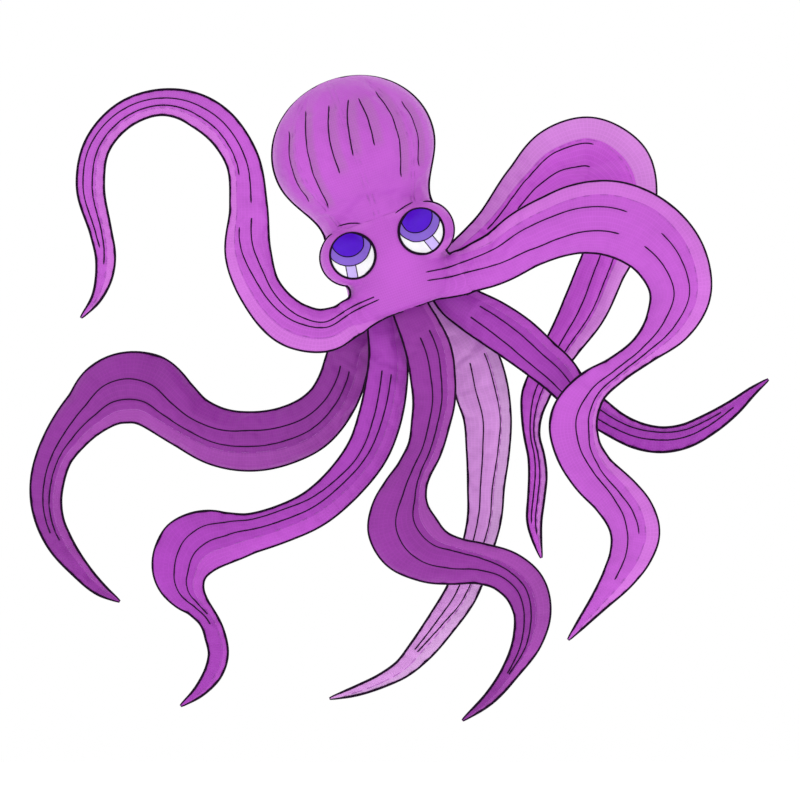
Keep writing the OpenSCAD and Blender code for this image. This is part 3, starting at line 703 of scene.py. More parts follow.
# ---- arms ----
# The stations are those of the CAD arms: [x, z, half width] in millimetres down the middle of the arm.
# tracks gives, at some stations, where the two rib seams and the paler band's edge run, from -1 at one edge
# of the arm to 1 at the other, and shown the stations between which each rib seam is stitched. trim gives
# how much wider the skin is than the CAD arm, as factors on its -1 side and its 1 side. A negative station
# is a share of the stretch inside the head.
MM = 0.001
ARMS = {
    "front_left": dict(
        side=-1, root=(0, 0), depth=(-55, -140, -165), elbow=10, cloth="purple",
        tracks=[(-0.9, -0.33, -0.02, 0.99), (-0.3, -0.38, -0.06, 0.72), (0.4, -0.42, -0.13, 0.42),
                (1.2, -0.45, -0.21, 0.30), (3.3, -0.55, -0.08, 0.40), (4.5, -0.20, 0.40, 0.62),
                (5.7, -0.24, 0.39, 0.62), (8, -0.30, 0.28, 0.50), (11, -0.33, 0.24, 0.46),
                (13.6, -0.56, 0.16, 0.40), (15.2, -0.52, 0.07, 0.32), (16.4, -0.37, -0.25, 0.1),
                (19, -0.3, 0.0, 0.2)],
        shown=[[(-0.75, 4.8), (5.1, 15.6)], [(-0.85, 4.6), (5.7, 16.4)]],
        trim=[(-1, 0.7, 1), (0, 0.72, 1), (0.5, 0.84, 1), (1, 1.03, 1), (2, 1, 1), (4, 1.04, 0.94),
              (5, 1.06, 0.9), (6, 1.04, 0.94), (7, 1, 1)],
        stations=[[-119, -85, 55], [-185, -129, 49], [-265, -113, 55], [-350, -28, 51], [-381, 60, 56],
                  [-381, 180, 46], [-395, 298, 40], [-418, 345, 40], [-454, 388, 41], [-497, 418, 40],
                  [-542, 437, 35], [-588, 443, 31], [-680, 416, 31], [-757, 330, 31], [-772, 236, 33],
                  [-745, 116, 25], [-734, 59, 23], [-738, 6, 19], [-756, -45, 11], [-796, -96, 2]]),
    "front_right": dict(
        side=1, root=(0, 5), depth=(-55, -165, -180), elbow=12, cloth="purple",
        tracks=[(-0.4, -0.02, 0.42, 0.99), (0.3, -0.04, 0.42, 0.86), (1.2, -0.15, 0.40, 0.70),
                (3.2, -0.45, 0.32, 0.60), (5.5, -0.38, 0.29, 0.62), (8, -0.34, 0.24, 0.62),
                (9.7, -0.31, 0.20, 0.50), (12, -0.16, 0.30, 0.56), (14, 0.10, 0.57, 0.76),
                (15.3, 0.13, 0.69, 0.86), (17.5, -0.05, 0.25, 0.62), (19.8, -0.38, 0.11, 0.42),
                (22.2, -0.09, 0.2, 0.40), (25, 0.0, 0.3, 0.5)],
        shown=[[(-0.9, 6.5), (7.8, 22.2)], [(-0.9, 6.5), (8.0, 20.0)]],
        trim=[(8, 1, 1), (9, 1.05, 1), (10, 1.2, 1), (11, 1.1, 1), (12, 1, 1), (15, 1, 1), (17, 1, 0.87),
              (18, 1, 1)],
        stations=[[145, 15, 56], [190, 32, 58], [244, 56, 62], [320, 105, 71], [385, 134, 77],
                  [446, 152, 85], [532, 152, 92], [588, 132, 92], [638, 98, 89], [681, 47, 82],
                  [706, -32, 67], [672, -107, 56], [606, -175, 34], [536, -226, 31], [472, -273, 42],
                  [430, -354, 57], [442, -418, 57], [480, -479, 58], [540, -543, 57], [572, -585, 59],
                  [587, -635, 58], [579, -673, 52], [545, -738, 39], [499, -799, 23], [458, -849, 12],
                  [417, -899, 2]]),
    "rear_right": dict(
        side=1, root=(0, 40), depth=(60, 170, 180), elbow=11, cloth="rear",
        tracks=[(0, -0.40, 0.05, 0.40), (3, -0.42, 0.10, 0.25), (4.5, -0.55, -0.05, 0.05),
                (6, -0.50, -0.05, 0.10), (7, -0.40, 0.10, 0.30), (9, -0.25, 0.33, 0.45),
                (14, -0.10, 0.33, 0.48), (18.5, -0.44, 0.17, 0.4), (21, -0.3, 0.2, 0.4)],
        shown=[[(2.5, 5.2), (7.5, 19.1)], [(1.8, 5.1), (7.5, 19.7)]],
        trim=[(0, 1, 1), (1, 1, 0.88), (3, 1, 0.87), (4, 1.5, 0.95), (5, 2.2, 1.04), (6, 1.75, 1.12),
              (7, 1.05, 1.12), (8, 0.88, 1.02), (9, 0.88, 0.93), (10, 1, 0.95), (11, 1, 1),
              (14, 0.97, 0.97), (16, 0.9, 0.9), (19, 0.93, 0.93), (21, 1, 1)],
        stations=[[142, 51, 38], [182, 91, 42], [225, 130, 48], [320, 248, 62], [390, 321, 64],
                  [475, 349, 57], [556, 290, 64], [568, 190, 65], [535, 100, 66], [505, 30, 63],
                  [462, -75, 56], [408, -162, 42], [362, -238, 35], [340, -288, 34], [330, -342, 24],
                  [331, -392, 19], [342, -440, 21], [346, -485, 23], [342, -545, 21], [337, -605, 18],
                  [344, -652, 10], [355, -697, 2]]),
    "side_right": dict(
        side=0, root=(124, 36), depth=(0, 0, 15), elbow=5, cloth="plum",
        tracks=[(0, -0.25, 0.42, 0.66), (3.5, -0.51, 0.24, 0.62), (5.5, -0.55, 0.20, 0.60),
                (8, -0.39, 0.25, 0.55), (10.8, 0.0, 0.65, 0.82), (13, -0.15, 0.45, 0.7),
                (14, 0.05, 0.40, 0.6), (16, 0.0, 0.3, 0.5)],
        shown=[[(1.0, 14.0)], [(1.1, 13.6)]],
        stations=[[155, -63, 46], [185, -80, 51], [236, -110, 55], [295, -150, 55], [352, -197, 50],
                  [396, -235, 47], [422, -265, 42], [462, -305, 37], [500, -335, 34], [542, -364, 31],
                  [600, -391, 31], [656, -400, 30], [715, -390, 28], [766, -365, 25], [835, -319, 17],
                  [885, -276, 8], [923, -248, 2]]),
    "tail": dict(
        side=0, root=(83, 44), depth=(62, 150, 165), elbow=7, cloth="pale",
        tracks=[(0, -0.25, 0.45, 0.60), (2.3, -0.25, 0.47, 0.56), (4.2, -0.23, 0.53, 0.60),
                (6.3, -0.35, 0.31, 0.42), (7.2, -0.42, 0.31, 0.42), (10.3, -0.24, 0.35, 0.46),
                (12.1, -0.40, -0.07, 0.2), (16, -0.2, 0.2, 0.4)],
        shown=[[(2.2, 12.1)], [(2.1, 12.1)]],
        trim=[(2, 1, 1), (4, 1, 0.94), (6, 1, 0.93), (7, 1, 0.94), (9, 0.86, 1), (12, 0.86, 1), (14, 1, 1)],
        stations=[[118, -84, 40], [145, -125, 45], [180, -180, 56], [205, -272, 66], [220, -338, 60],
                  [222, -425, 54], [217, -515, 46], [212, -600, 42], [197, -657, 40], [180, -712, 40],
                  [152, -780, 41], [102, -857, 37], [49, -927, 31], [7, -972, 22], [-39, -1000, 16],
                  [-104, -1027, 11], [-178, -1049, 2]]),
    "centre": dict(
        side=0, root=(2, 23), depth=(-55, -95, -110), elbow=7, cloth="dark",
        tracks=[(0, -0.16, 0.39, 0.70), (1.3, -0.16, 0.39, 0.70), (3.7, -0.07, 0.38, 0.66),
                (6.1, -0.10, 0.37, 0.62), (8.2, 0.01, 0.55, 0.72), (9.9, -0.19, 0.37, 0.58),
                (13.2, -0.32, 0.45, 0.62), (15, -0.32, 0.10, 0.30), (17.3, -0.49, -0.09, 0.20),
                (18.4, -0.37, 0.03, 0.26), (19.1, -0.25, -0.05, 0.2), (21, -0.2, 0.1, 0.3)],
        shown=[[(1.35, 19.1)], [(1.2, 19.1)]],
        trim=[(5, 1, 1), (6, 0.86, 1), (7, 0.84, 0.95), (8, 0.95, 0.88), (9, 1.05, 0.95), (10, 1.14, 1.12),
              (11, 1.05, 1.18), (12, 0.94, 1), (14, 0.95, 1), (15, 0.95, 1.03), (17, 0.9, 0.93),
              (19, 1, 0.85), (21, 1, 1)],
        stations=[[35, -92, 46], [51, -125, 50], [72, -179, 55], [82, -242, 54], [85, -300, 51],
                  [76, -360, 46], [59, -422, 44], [31, -479, 46], [10, -530, 57], [2, -571, 68],
                  [5, -610, 76], [30, -660, 78], [68, -690, 68], [120, -702, 60], [202, -710, 50],
                  [267, -731, 50], [310, -767, 52], [330, -826, 49], [321, -895, 39], [277, -979, 22],
                  [227, -1042, 14], [155, -1101, 2]]),
    "rear_left": dict(
        side=0, root=(-127, 12), depth=(60, 140, 150), elbow=7, cloth="dark",
        tracks=[(0, -0.26, 0.18, 0.50), (1.7, -0.26, 0.18, 0.50), (6.1, -0.37, 0.19, 0.39),
                (8.2, -0.07, 0.35, 0.55), (11, -0.08, 0.45, 0.70), (14, -0.13, 0.33, 0.62),
                (16.4, -0.21, 0.22, 0.49), (18.9, -0.36, 0.04, 0.35), (22, -0.2, 0.1, 0.3)],
        shown=[[(1.6, 18.4)], [(1.7, 18.9)]],
        trim=[(4, 1, 1), (5, 0.95, 1), (7, 0.94, 1.02), (8, 0.92, 1.04), (9, 1.02, 1.1), (10, 1.13, 1.3),
              (11, 1.0, 1.55), (12, 0.88, 1.35), (13, 0.80, 1.08), (14, 0.92, 1), (15, 1, 0.93),
              (18, 1, 0.93), (20, 1, 1)],
        stations=[[-90, -125, 45], [-125, -172, 54], [-141, -245, 54], [-172, -307, 58], [-227, -362, 66],
                  [-290, -389, 71], [-370, -402, 74], [-451, -391, 72], [-522, -354, 69], [-574, -314, 72],
                  [-629, -266, 71], [-680, -253, 72], [-733, -267, 74], [-787, -322, 65], [-832, -382, 53],
                  [-865, -442, 44], [-881, -496, 42], [-885, -556, 38], [-874, -610, 34], [-852, -657, 31],
                  [-805, -721, 22], [-751, -775, 14], [-701, -806, 2]]),
    "side_left": dict(
        side=0, root=(-75, 17), depth=(0, -5, 10), elbow=7, cloth="plum",
        tracks=[(0, -0.29, 0.20, 0.55), (1.5, -0.29, 0.20, 0.50), (4.5, -0.22, 0.14, 0.45),
                (6.7, -0.72, -0.10, 0.30), (8.5, -0.70, -0.19, 0.30), (10, -0.47, 0.11, 0.45),
                (12.2, 0.0, 0.45, 0.68), (15.8, -0.16, 0.20, 0.45), (21, -0.1, 0.2, 0.4)],
        shown=[[(1.4, 16.3)], [(1.5, 15.8)]],
        trim=[(1, 1, 1), (3, 0.96, 1.08), (5, 0.9, 1.1), (7, 0.9, 1.03), (8, 0.94, 1), (9, 1.06, 1.12),
              (10, 1.2, 1.25), (11, 1.25, 1.45), (12, 1.1, 1.5), (13, 0.84, 1.35), (14, 0.66, 1.05),
              (15, 0.64, 0.8), (16, 0.9, 0.78), (17, 1.0, 0.85), (18, 0.8, 0.95), (19, 0.8, 1), (20, 1, 1)],
        stations=[[-40, -112, 40], [-30, -200, 47], [-37, -270, 50], [-55, -350, 51], [-80, -417, 50],
                  [-145, -505, 47], [-216, -568, 46], [-302, -609, 46], [-374, -632, 49], [-432, -643, 57],
                  [-487, -649, 60], [-533, -671, 60], [-559, -706, 56], [-563, -748, 57], [-545, -788, 48],
                  [-513, -814, 37], [-480, -845, 27], [-460, -893, 26], [-456, -935, 26], [-469, -981, 23],
                  [-500, -1026, 13], [-550, -1066, 2]]),
}
HIDDEN_START = 0.085       # how far an arm's skin reaches into the head
FACE_ARMS = ("front_left", "front_right")      # these run into the front of the face without a seam
FINE_STEP = 0.003          # between the points of an arm's edge lines
STITCH_FADE = 0.030        # a rib seam sinks in over this length at its ends
TRACK_BLUR = 0.05          # the tracks are smoothed over this length
BAND_GAP = 0.07            # least way from the second rib seam to the band, where 1 is the half width
FOLD_SPEED = 0.45          # an edge that gets ahead slower than this share of the middle line is in a fold


class Arm:
    """One arm's middle line, width and seam tracks, by distance s from its root seam."""

    def __init__(self, name, side, root, depth, elbow, cloth, tracks, shown, stations, trim=((0, 1, 1),)):
        self.name = name
        self.cloth = cloth
        self.in_face = name in FACE_ARMS
        self.list = np.array(stations, float) * MM
        self.knot = distances(self.list[:, :2])
        self.length = self.knot[-1]
        self.elbow_s = self.knot[elbow]
        self.depth = [d * MM for d in depth]
        gaps = np.diff(self.knot)[:, None]
        steps = np.diff(self.list, axis=0) / gaps
        between = (steps[:-1] * gaps[1:] + steps[1:] * gaps[:-1]) / (gaps[:-1] + gaps[1:])
        self.slope = np.concatenate([steps[:1], between, steps[-1:]])
        back = self.depth[0]
        if side == 0:
            across, up = root[0] * MM, -HEM_DROP - root[1] * MM
            self.inner = in_head(across * 0.75, back * 0.75, up + HIDDEN_START)
        else:
            up = root[1] * MM
            across = side * math.sqrt((face_radius(up) + ROOT_STAND) ** 2 - back**2)
            self.inner = in_head(across - side * HIDDEN_START, back * 0.7, up + 0.012)
        self.root = in_head(across, back, up)
        self.start = -np.linalg.norm(self.root - self.inner)
        self.track_s = [self.s_of(row[0]) for row in tracks]
        self.track_v = np.array([row[1:] for row in tracks])
        self.shown = [[(self.s_of(a), self.s_of(b)) for a, b in line] for line in shown]
        self.fine = np.linspace(self.start, self.length, int((self.length - self.start) / FINE_STEP))
        trim_s = [self.s_of(row[0]) for row in trim]
        self.edges = [self.edge_line(edge, np.interp(self.fine, trim_s, [row[column] for row in trim]))
                      for edge, column in ((-1, 1), (1, 2))]

    def s_of(self, number):
        """Distance of a station, which may lie between two or before the first."""
        if number < 0:
            return number * -self.start
        return float(np.interp(number, np.arange(len(self.knot)), self.knot))

    def middle(self, s):
        """The middle line and half width at distances s, which may start inside the head."""
        s = np.asarray(s, float)
        outer = np.clip(s, 0, self.length)
        at = through(self.list, self.knot, self.slope, outer)
        share = outer / self.length
        first, mid, last = self.depth
        rise = np.sin(math.pi / 2 * np.minimum(share / FAN, 1))
        bow = 1 - np.cos(math.pi / 2 * np.maximum(share - FAN, 0) / (1 - FAN))
        depth = np.where(share < FAN, first + (mid - first) * rise, mid + (last - mid) * bow)
        x, z, _ = (at - self.list[0]).T
        place = self.root + np.stack([x, depth - first, z], -1)
        way = np.array([self.slope[0, 0], (mid - first) * math.pi / 2 / FAN / self.length, self.slope[0, 1]])
        back = np.clip(s, self.start, 0)
        inside = hermite(self.inner, self.root, self.root - self.inner, unit(way) * -self.start,
                         (1 - back / self.start)[:, None])
        width = np.where(s < 0, self.list[0, 2] * (1 - 0.15 * back / self.start), at[:, 2])
        return np.where((s < 0)[:, None], inside, place), np.maximum(width, 0.002)

    def axes(self, s):
        """The way along the arm, the way across it, and the way through it, towards its back."""
        ahead = self.middle(np.minimum(s + MM, self.length))[0]
        way = unit(ahead - self.middle(np.maximum(s - MM, self.start))[0])
        across = unit(np.stack([-way[:, 2], np.zeros(len(way)), way[:, 0]], -1))
        return way, across, np.cross(across, way)

    def edge_line(self, edge, factor):
        """One edge of the arm, with the folds on the inside of tight bends drawn smooth."""
        place, half = self.middle(self.fine)
        way, across, _ = self.axes(self.fine)
        line = place + edge * (half * factor)[:, None] * across
        step = self.fine[1] - self.fine[0]

        def widened(chosen, reach):
            wide = np.convolve(chosen, np.ones(reach), mode="same") > 0
            wide[:3] = wide[-3:] = False
            return wide

        def relax(chosen):
            line[chosen] = ((np.roll(line, 1, 0) + np.roll(line, -1, 0)) / 2)[chosen]

        bent = np.zeros(len(line), bool)
        for _ in range(260):
            ahead = np.sum(np.gradient(line, step, axis=0) * way, 1)
            loose = widened(ahead < FOLD_SPEED, 13)
            if not loose.any():
                break
            relax(loose)
            bent |= loose
        near = widened(bent, 31)
        for _ in range(120):
            relax(near)
        return line

    def tracks(self, s):
        """Where the two rib seams and the band's edge run across the arm."""
        fine = np.linspace(self.start, self.length, 600)
        width = max(3, int(TRACK_BLUR / (fine[1] - fine[0])))
        rows = []
        for k in range(3):
            line = np.interp(fine, self.track_s, self.track_v[:, k])
            line = np.convolve(np.pad(line, width, mode="edge"), np.ones(width) / width, mode="same")
            rows.append(np.interp(s, fine, line[width:-width]))
        rows[2] = np.maximum(rows[2], rows[1] + BAND_GAP)
        return rows

    def stitched(self, s, line):
        """1 where rib seam number line is stitched, fading to 0 past its ends."""
        cover = np.zeros(len(s))
        for a, b in self.shown[line]:
            ends = smooth_step((s - a) / STITCH_FADE + 0.5) * smooth_step((b - s) / STITCH_FADE + 0.5)
            cover = np.maximum(cover, ends)
        return cover

    def surface(self, s, v, side):
        """Points of the skin. v is s by columns, from -1 to 1. side is -1 on the front, 1 on the back."""
        place, half = self.middle(s)
        low, high = (np.stack([np.interp(s, self.fine, line[:, k]) for k in range(3)], -1) - place
                     for line in self.edges)
        deep = np.minimum(ARM_HALF_DEPTH, half * ARM_ROUNDNESS)
        near = np.clip(1 - v * v, 0, 1)
        depth = deep[:, None] * near**0.58
        for line, track in enumerate(self.tracks(s)[:2]):
            away = np.abs(v - track[:, None]) * half[:, None]
            sink = np.minimum(SEAM_SINK, deep * 0.24) * self.stitched(s, line)
            depth = depth - sink[:, None] * np.exp(-away / SEAM_SPREAD) * near**0.3
        sideways = np.where(v[..., None] < 0, -v[..., None] * low[:, None], v[..., None] * high[:, None])
        return place[:, None] + sideways + side * depth[..., None] * self.axes(s)[2][:, None]

    def edge(self, s, edge):
        """Points of the skin on one edge."""
        return self.surface(s, np.full((len(s), 1), float(edge)), 1)[:, 0]

    def loop(self, s, v):
        """Points of the skin all round the arm."""
        return np.concatenate([self.surface(s, v, -1)[:, :-1], self.surface(s, v[:, ::-1], 1)[:, :-1]], 1)

    def columns(self, s):
        """v of each column of the skin's grid, and which columns are on the seams and the band's edge."""
        low, high, band = self.tracks(s)
        edges = [np.full(len(s), -1.0), low, high, band, np.full(len(s), 1.0)]
        parts = []
        for k, cells in enumerate(PANEL_CELLS):
            share = np.arange(cells) / cells
            if k == 0:
                share = 1 - np.cos(share * math.pi / 2)
            if k == len(PANEL_CELLS) - 1:
                share = np.sin(share * math.pi / 2)
            parts.append(edges[k][:, None] + (edges[k + 1] - edges[k])[:, None] * share)
        parts.append(edges[-1][:, None])
        return np.concatenate(parts, 1), np.cumsum(PANEL_CELLS)[:3]


def arm_skin(arm):
    """The whole skin of an arm as one closed tube of cloth, blown up between its piping and rib seams."""
    s = np.linspace(arm.start, arm.length, int((arm.length - arm.start) / RING_STEP))
    v, marks = arm.columns(s)
    loop = arm.loop(s, v)
    girth = np.concatenate([[0], np.cumsum(np.linalg.norm(np.diff(loop, axis=1), axis=2).mean(0))])
    girth = np.append(girth, girth[-1] + girth[1])
    cells = v.shape[1] - 1
    # faces of the band, whose paler cloth is a painted highlight along one side of the arm
    band = np.zeros((len(s) - 1, 2 * cells), int)
    band[:, marks[2]:2 * cells - marks[2]] = 1
    shape = Shape().grid(loop, sheet_uv(s, girth), band, wrap=True)
    shape.cap(-2 * cells, 2 * cells, flip=True)
    obj = shape.make(arm.name + "_skin", [CLOTH[arm.cloth], CLOTH[arm.cloth + "_band"]])
    pins = np.zeros(loop.shape[:2])
    pins[:, [0, cells]] = 1
    for line, mark in enumerate(marks[:2]):
        held = arm.stitched(s, line) > 0.5
        pins[held, mark] = pins[held, 2 * cells - mark] = 1
    pins[(s < 0.02) | (s > arm.length - 0.03)] = 1
    share = np.concatenate([v[:, :-1], v[:, :0:-1]], 1) ** 2
    blow_up(obj, pins.ravel(), **ARM_PUFF,
            stiff_way=(share[..., None] * arm.axes(s)[1][:, None]).reshape(-1, 3))
    return applied(obj, levels=1)


PUFF_REACH = 0.07          # farther out than any skin stands off its arm's middle
IN_FACE_END = 0.035        # up to here a face arm's skin lies in the face


def on_arm(arm, tree, s, v, side):
    """A line on an arm's finished skin. Where the arm is still in the face, it lies on the face's front."""
    out = arm.axes(s)[2] * side
    rough = arm.surface(s, v[:, None], side)[:, 0]
    path = cast(tree, rough + PUFF_REACH * out, -out, rough)
    inner = np.flatnonzero(s < IN_FACE_END)
    if arm.in_face and side < 0 and len(inner):
        path[inner] = cast(tree, rough[inner] - 0.4 * BACK, BACK, rough[inner])
    return smoothed(path), out


def arm_cords(arm, tree, low, high):
    """Piping along both edges, and on both faces the stitched rib seams and the topstitching of the band."""
    first = 0.0 if arm.in_face else arm.start + 0.02
    s = np.append(np.arange(max(low, first), high, CORD_STEP), high)
    _, across, back = arm.axes(s)
    radius = PIPING_R * (0.55 + 0.45 * np.clip((arm.length - s) / 0.05, 0, 1))
    piping, seams, stitches = Shape(), Shape(), Shape()
    for edge in (-1, 1):
        path = nearest(tree, arm.edge(s, edge))[0] + 0.3 * edge * radius[:, None] * across
        add_tube(piping, smoothed(path), radius, out=back)
    for side in (-1, 1):
        least = 0.045 if arm.in_face and side > 0 else -1
        for line, (a, b) in [(line, span) for line in (0, 1) for span in arm.shown[line]]:
            whole = a >= low and b <= high
            a, b = max(a, low, least), min(b, high)
            if b - a < 0.01:
                continue
            run = np.linspace(a, b, max(3, int((b - a) / CORD_STEP)))
            path, out = on_arm(arm, tree, run, arm.tracks(run)[line], side)
            add_tube(seams, path, tapered(path, SEAM_R) if whole else SEAM_R, out=out, flat=0.7)
        run = np.linspace(max(low, 0.05), min(high, arm.length - 0.04), int((high - low) / RING_STEP))
        path, out = on_arm(arm, tree, run, arm.tracks(run)[2], side)
        add_tube(stitches, path, TOPSTITCH_R, out=out, flat=0.6, sides=6)
    return piping, seams, stitches


def snap_to_face(arm, mesh, face_tree):
    """Draws the first stretch of an arm's skin onto the face, so that one runs into the other."""
    points = vertices(mesh)
    s_line = np.linspace(arm.start, 0.12, 60)
    line = arm.middle(s_line)[0]
    for i in np.flatnonzero(np.linalg.norm(points - arm.root, axis=1) < 0.19):
        weight = float(smooth_step(1 - s_line[np.argmin(np.sum((line - points[i]) ** 2, 1))] / 0.075))
        if weight > 0:
            place, normal, _, _ = face_tree.find_nearest(Vector(points[i]))
            target = np.array(place) - 0.0009 * np.array(normal)
            points[i] += weight * (target - points[i])
    move_vertices(mesh, points)


BLEND_START = 0.005        # the stretch of cloth at an arm's root, by distance from the root seam
BLEND_END = 0.115
ELBOW_SPREAD = 0.060       # the stretch of cloth at an elbow, to each side of it
HALVES_CUT = 0.55          # where the skin's two parts meet, as a share of the way to the elbow


def dress_arm(arm, face, face_tree):
    """Makes an arm's skin, piping and seams, each in two parts, cut between the root and the elbow."""
    skin = arm_skin(arm)
    if arm.in_face:
        snap_to_face(arm, skin.data, face_tree)
    tree = tree_of(skin, face) if arm.in_face else tree_of(skin)
    cut = HALVES_CUT * arm.elbow_s
    upper, lower = arm.name + "_arm_upper", arm.name + "_arm_lower"
    elbow = arm.elbow_s
    ends = arm.middle(np.array([BLEND_START, BLEND_END, elbow - ELBOW_SPREAD, elbow + ELBOW_SPREAD]))[0]
    halves = [("upper", lambda u: u < cut, arm.start, cut, "head", upper, ends[0], ends[1]),
              ("lower", lambda u: u >= cut, cut, arm.length, upper, lower, ends[2], ends[3])]
    for word, keep, low, high, first, second, start, end in halves:
        cloth = part_of(skin, f"{arm.name}_{word}_skin", keep)
        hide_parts(second)
        piping, seams, stitches = arm_cords(arm, tree, low, high)
        cords = [piping.make(f"{arm.name}_{word}_piping", [PIPING]),
                 stitches.make(f"{arm.name}_{word}_topstitching", [TOPSTITCH])]
        if seams.faces:
            cords.append(seams.make(f"{arm.name}_{word}_rib_seams", [THREAD]))
        for piece in [cloth] + cords:
            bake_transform(piece)
    bpy.data.objects.remove(skin)


# ---- head ----
def revolved(shape, profile, columns, flip=False):
    """Adds a surface of revolution about the head's axis. profile is rows of radius and height."""
    radius, up = np.array(profile).T
    uv = sheet_uv(around(columns, 1) * FACE_R, distances(np.array(profile))).transpose(1, 0, 2)
    shape.grid(round_head(radius[:, None], around(columns), up[:, None]), uv, wrap=True, flip=flip)


def ball(shape, centre, radius, rows=24):
    """Adds a ball at a place in the head's axes."""
    tilt = np.linspace(0.02, math.pi - 0.02, rows)[:, None]
    turn = around(2 * rows)
    points = in_head(centre[0] + radius * np.sin(tilt) * np.sin(turn),
                     centre[1] - radius * np.sin(tilt) * np.cos(turn),
                     centre[2] - radius * np.cos(tilt) + 0 * turn)
    shape.grid(points, np.zeros((rows, 2 * rows + 1, 2)), wrap=True, flip=True)
    shape.cap(-rows * 2 * rows, 2 * rows, flip=True)
    shape.cap(-2 * rows, 2 * rows)


STUB_END = 0.020           # how far the face skin runs out along its arms
FACE_COLUMNS = 96
FACE_VOXEL = 0.0045
TUCK = 0.030               # how far the face skin reaches up into the mantle
WAIST = 0.085, 0.066, 0.026      # how much the face narrows under the eyes, where, and over what height
GATHER = 0.0011            # depth of the gathers along the neck seam and the hem
EYE_HIGHLIGHT = 0.086, 0.072, 0.062, 0.022 # the painted highlight over an eye: its place across and over the eye, half sizes


def face_skin(arms):
    """Face, padded eye mounds and shoulders as one smooth skin."""
    shape = Shape()
    heights = np.concatenate([np.linspace(-HEM_DROP, FACE_H, 24), np.linspace(FACE_H, NECK_H, 18)[1:]])
    tucked = [(NECK_R - 0.7 * h, NECK_H + h) for h in (TUCK / 3, TUCK * 2 / 3, TUCK)]
    outer = [(face_radius(h), h) for h in heights]
    profile = [(0.002, -HEM_DROP)] + outer + tucked + [(0.002, NECK_H + TUCK)]
    revolved(shape, profile, FACE_COLUMNS, flip=True)
    shape.cap(0, FACE_COLUMNS, flip=True)
    shape.cap(-FACE_COLUMNS, FACE_COLUMNS)
    across, _, up = to_head(shape.points[-1])
    narrow, waist_up, waist_spread = WAIST
    shape.points[-1] -= (narrow * across * np.exp(-((up - waist_up) / waist_spread) ** 2))[:, None] * ACROSS
    for side in (-1, 1):
        ball(shape, (side * MOUND_X, -MOUND_Y, MOUND_H), MOUND_R)
    rings, cells = 14, 24
    for arm in arms:
        s = np.linspace(arm.start, STUB_END, rings)
        v = np.broadcast_to(-np.cos(np.linspace(0, math.pi, cells // 2 + 1)), (rings, cells // 2 + 1))
        shape.grid(arm.loop(s, v), np.zeros((rings, cells + 1, 2)), wrap=True)
        shape.cap(-rings * cells, cells)
        shape.cap(-cells, cells, flip=True)
    obj = shape.make("face_skin", [FACE_CLOTH])
    mesh = melted(obj, FACE_VOXEL, 14, FACE_CLOTH)
    points = vertices(mesh)
    across, back, up = to_head(points)
    turn = np.arctan2(across, -back)
    near_seam = np.exp(-((NECK_H - 0.012 - up) / 0.028) ** 2) + 0.7 * np.exp(-((up + HEM_DROP) / 0.022) ** 2)
    gathers = np.sin(turn * 23 + 1.7 * np.sin(turn * 5)) * np.sin(turn * 9 + 0.6)
    points += (GATHER * gathers * near_seam)[:, None] * vertices(mesh, "normal")
    move_vertices(mesh, points)
    # painted highlight over the eyes and along the arms' bands
    add_shade(mesh, np.maximum(painted_eye_highlight(across, up), painted_band_highlight(points, arms)) * (back < 0))
    wrap_uv(mesh)
    open_intake(mesh)
    return obj


def painted_eye_highlight(across, up):
    """How much painted highlight the face has over the eyes."""
    place, rise, half_w, half_h = EYE_HIGHLIGHT
    far = [np.hypot((across - side * place) / half_w, (up - MOUND_H - rise) / half_h) for side in (-1, 1)]
    return 0.6 * smooth_step(1.5 - np.minimum(*far))


def painted_band_highlight(points, arms):
    """Where the painted highlight of the arms' paler bands runs on into the face."""
    glow = np.zeros(len(points))
    for arm in arms:
        s = np.linspace(arm.start, 0.08, 120)
        line, half = arm.middle(s)
        away = points[:, None, ::2] - line[None, :, ::2]
        near = np.argmin((away**2).sum(-1), 1)
        v = (away[np.arange(len(points)), near] * arm.axes(s)[1][near][:, ::2]).sum(-1) / half[near]
        cover = smooth_step((v - arm.tracks(s)[2][near]) / 0.05 + 0.5) * (v < 1.6)
        glow = np.maximum(glow, cover * smooth_step((s[near] - arm.start) / 0.05))
    return glow


def open_intake(mesh):
    """Cuts the air intake's round mouth out of the base."""
    cut = bmesh.new()
    cut.from_mesh(mesh)
    doomed = []
    for cell in cut.faces:
        across, back, up = to_head(np.array(cell.calc_center_median()))
        far = math.hypot(across - INTAKE_AT[0], back - INTAKE_AT[1])
        if up < -HEM_DROP + 0.012 and far < INTAKE_R - 0.002:
            doomed.append(cell)
    bmesh.ops.delete(cut, geom=doomed, context="FACES")
    cut.to_mesh(mesh)
    cut.free()


def wrap_uv(mesh):
    """UVs in metres round the head's axis and up it, joined at the back. All faces have four sides."""
    across, back, up = to_head(vertices(mesh))
    loops = loop_vertices(mesh)
    turn = np.arctan2(across, -back)[loops].reshape(-1, 4)
    turn[(np.ptp(turn, axis=1) > math.pi)[:, None] & (turn < 0)] += 2 * math.pi
    layer = mesh.uv_layers.get("UVMap") or mesh.uv_layers.new(name="UVMap")
    uv = np.stack([turn.ravel() * FACE_R, up[loops]], -1)
    layer.data.foreach_set("uv", uv.astype(np.float32).ravel())


def on_front(tree, across, up):
    """Where the head's front skin is, seen along +Y, at places across and up, and its normals there."""
    found = []
    for a, b in zip(np.ravel(across), np.ravel(up)):
        hit = tree.ray_cast(Vector(in_head(a, -0.6, b)), Vector(BACK))
        if hit[0] is None:
            hit = tree.find_nearest(Vector(in_head(a, -0.08, b)))
        found.append((hit[0][:], hit[1][:]))
    found = np.array(found).reshape(np.shape(across) + (2, 3))
    return found[..., 0, :], found[..., 1, :]


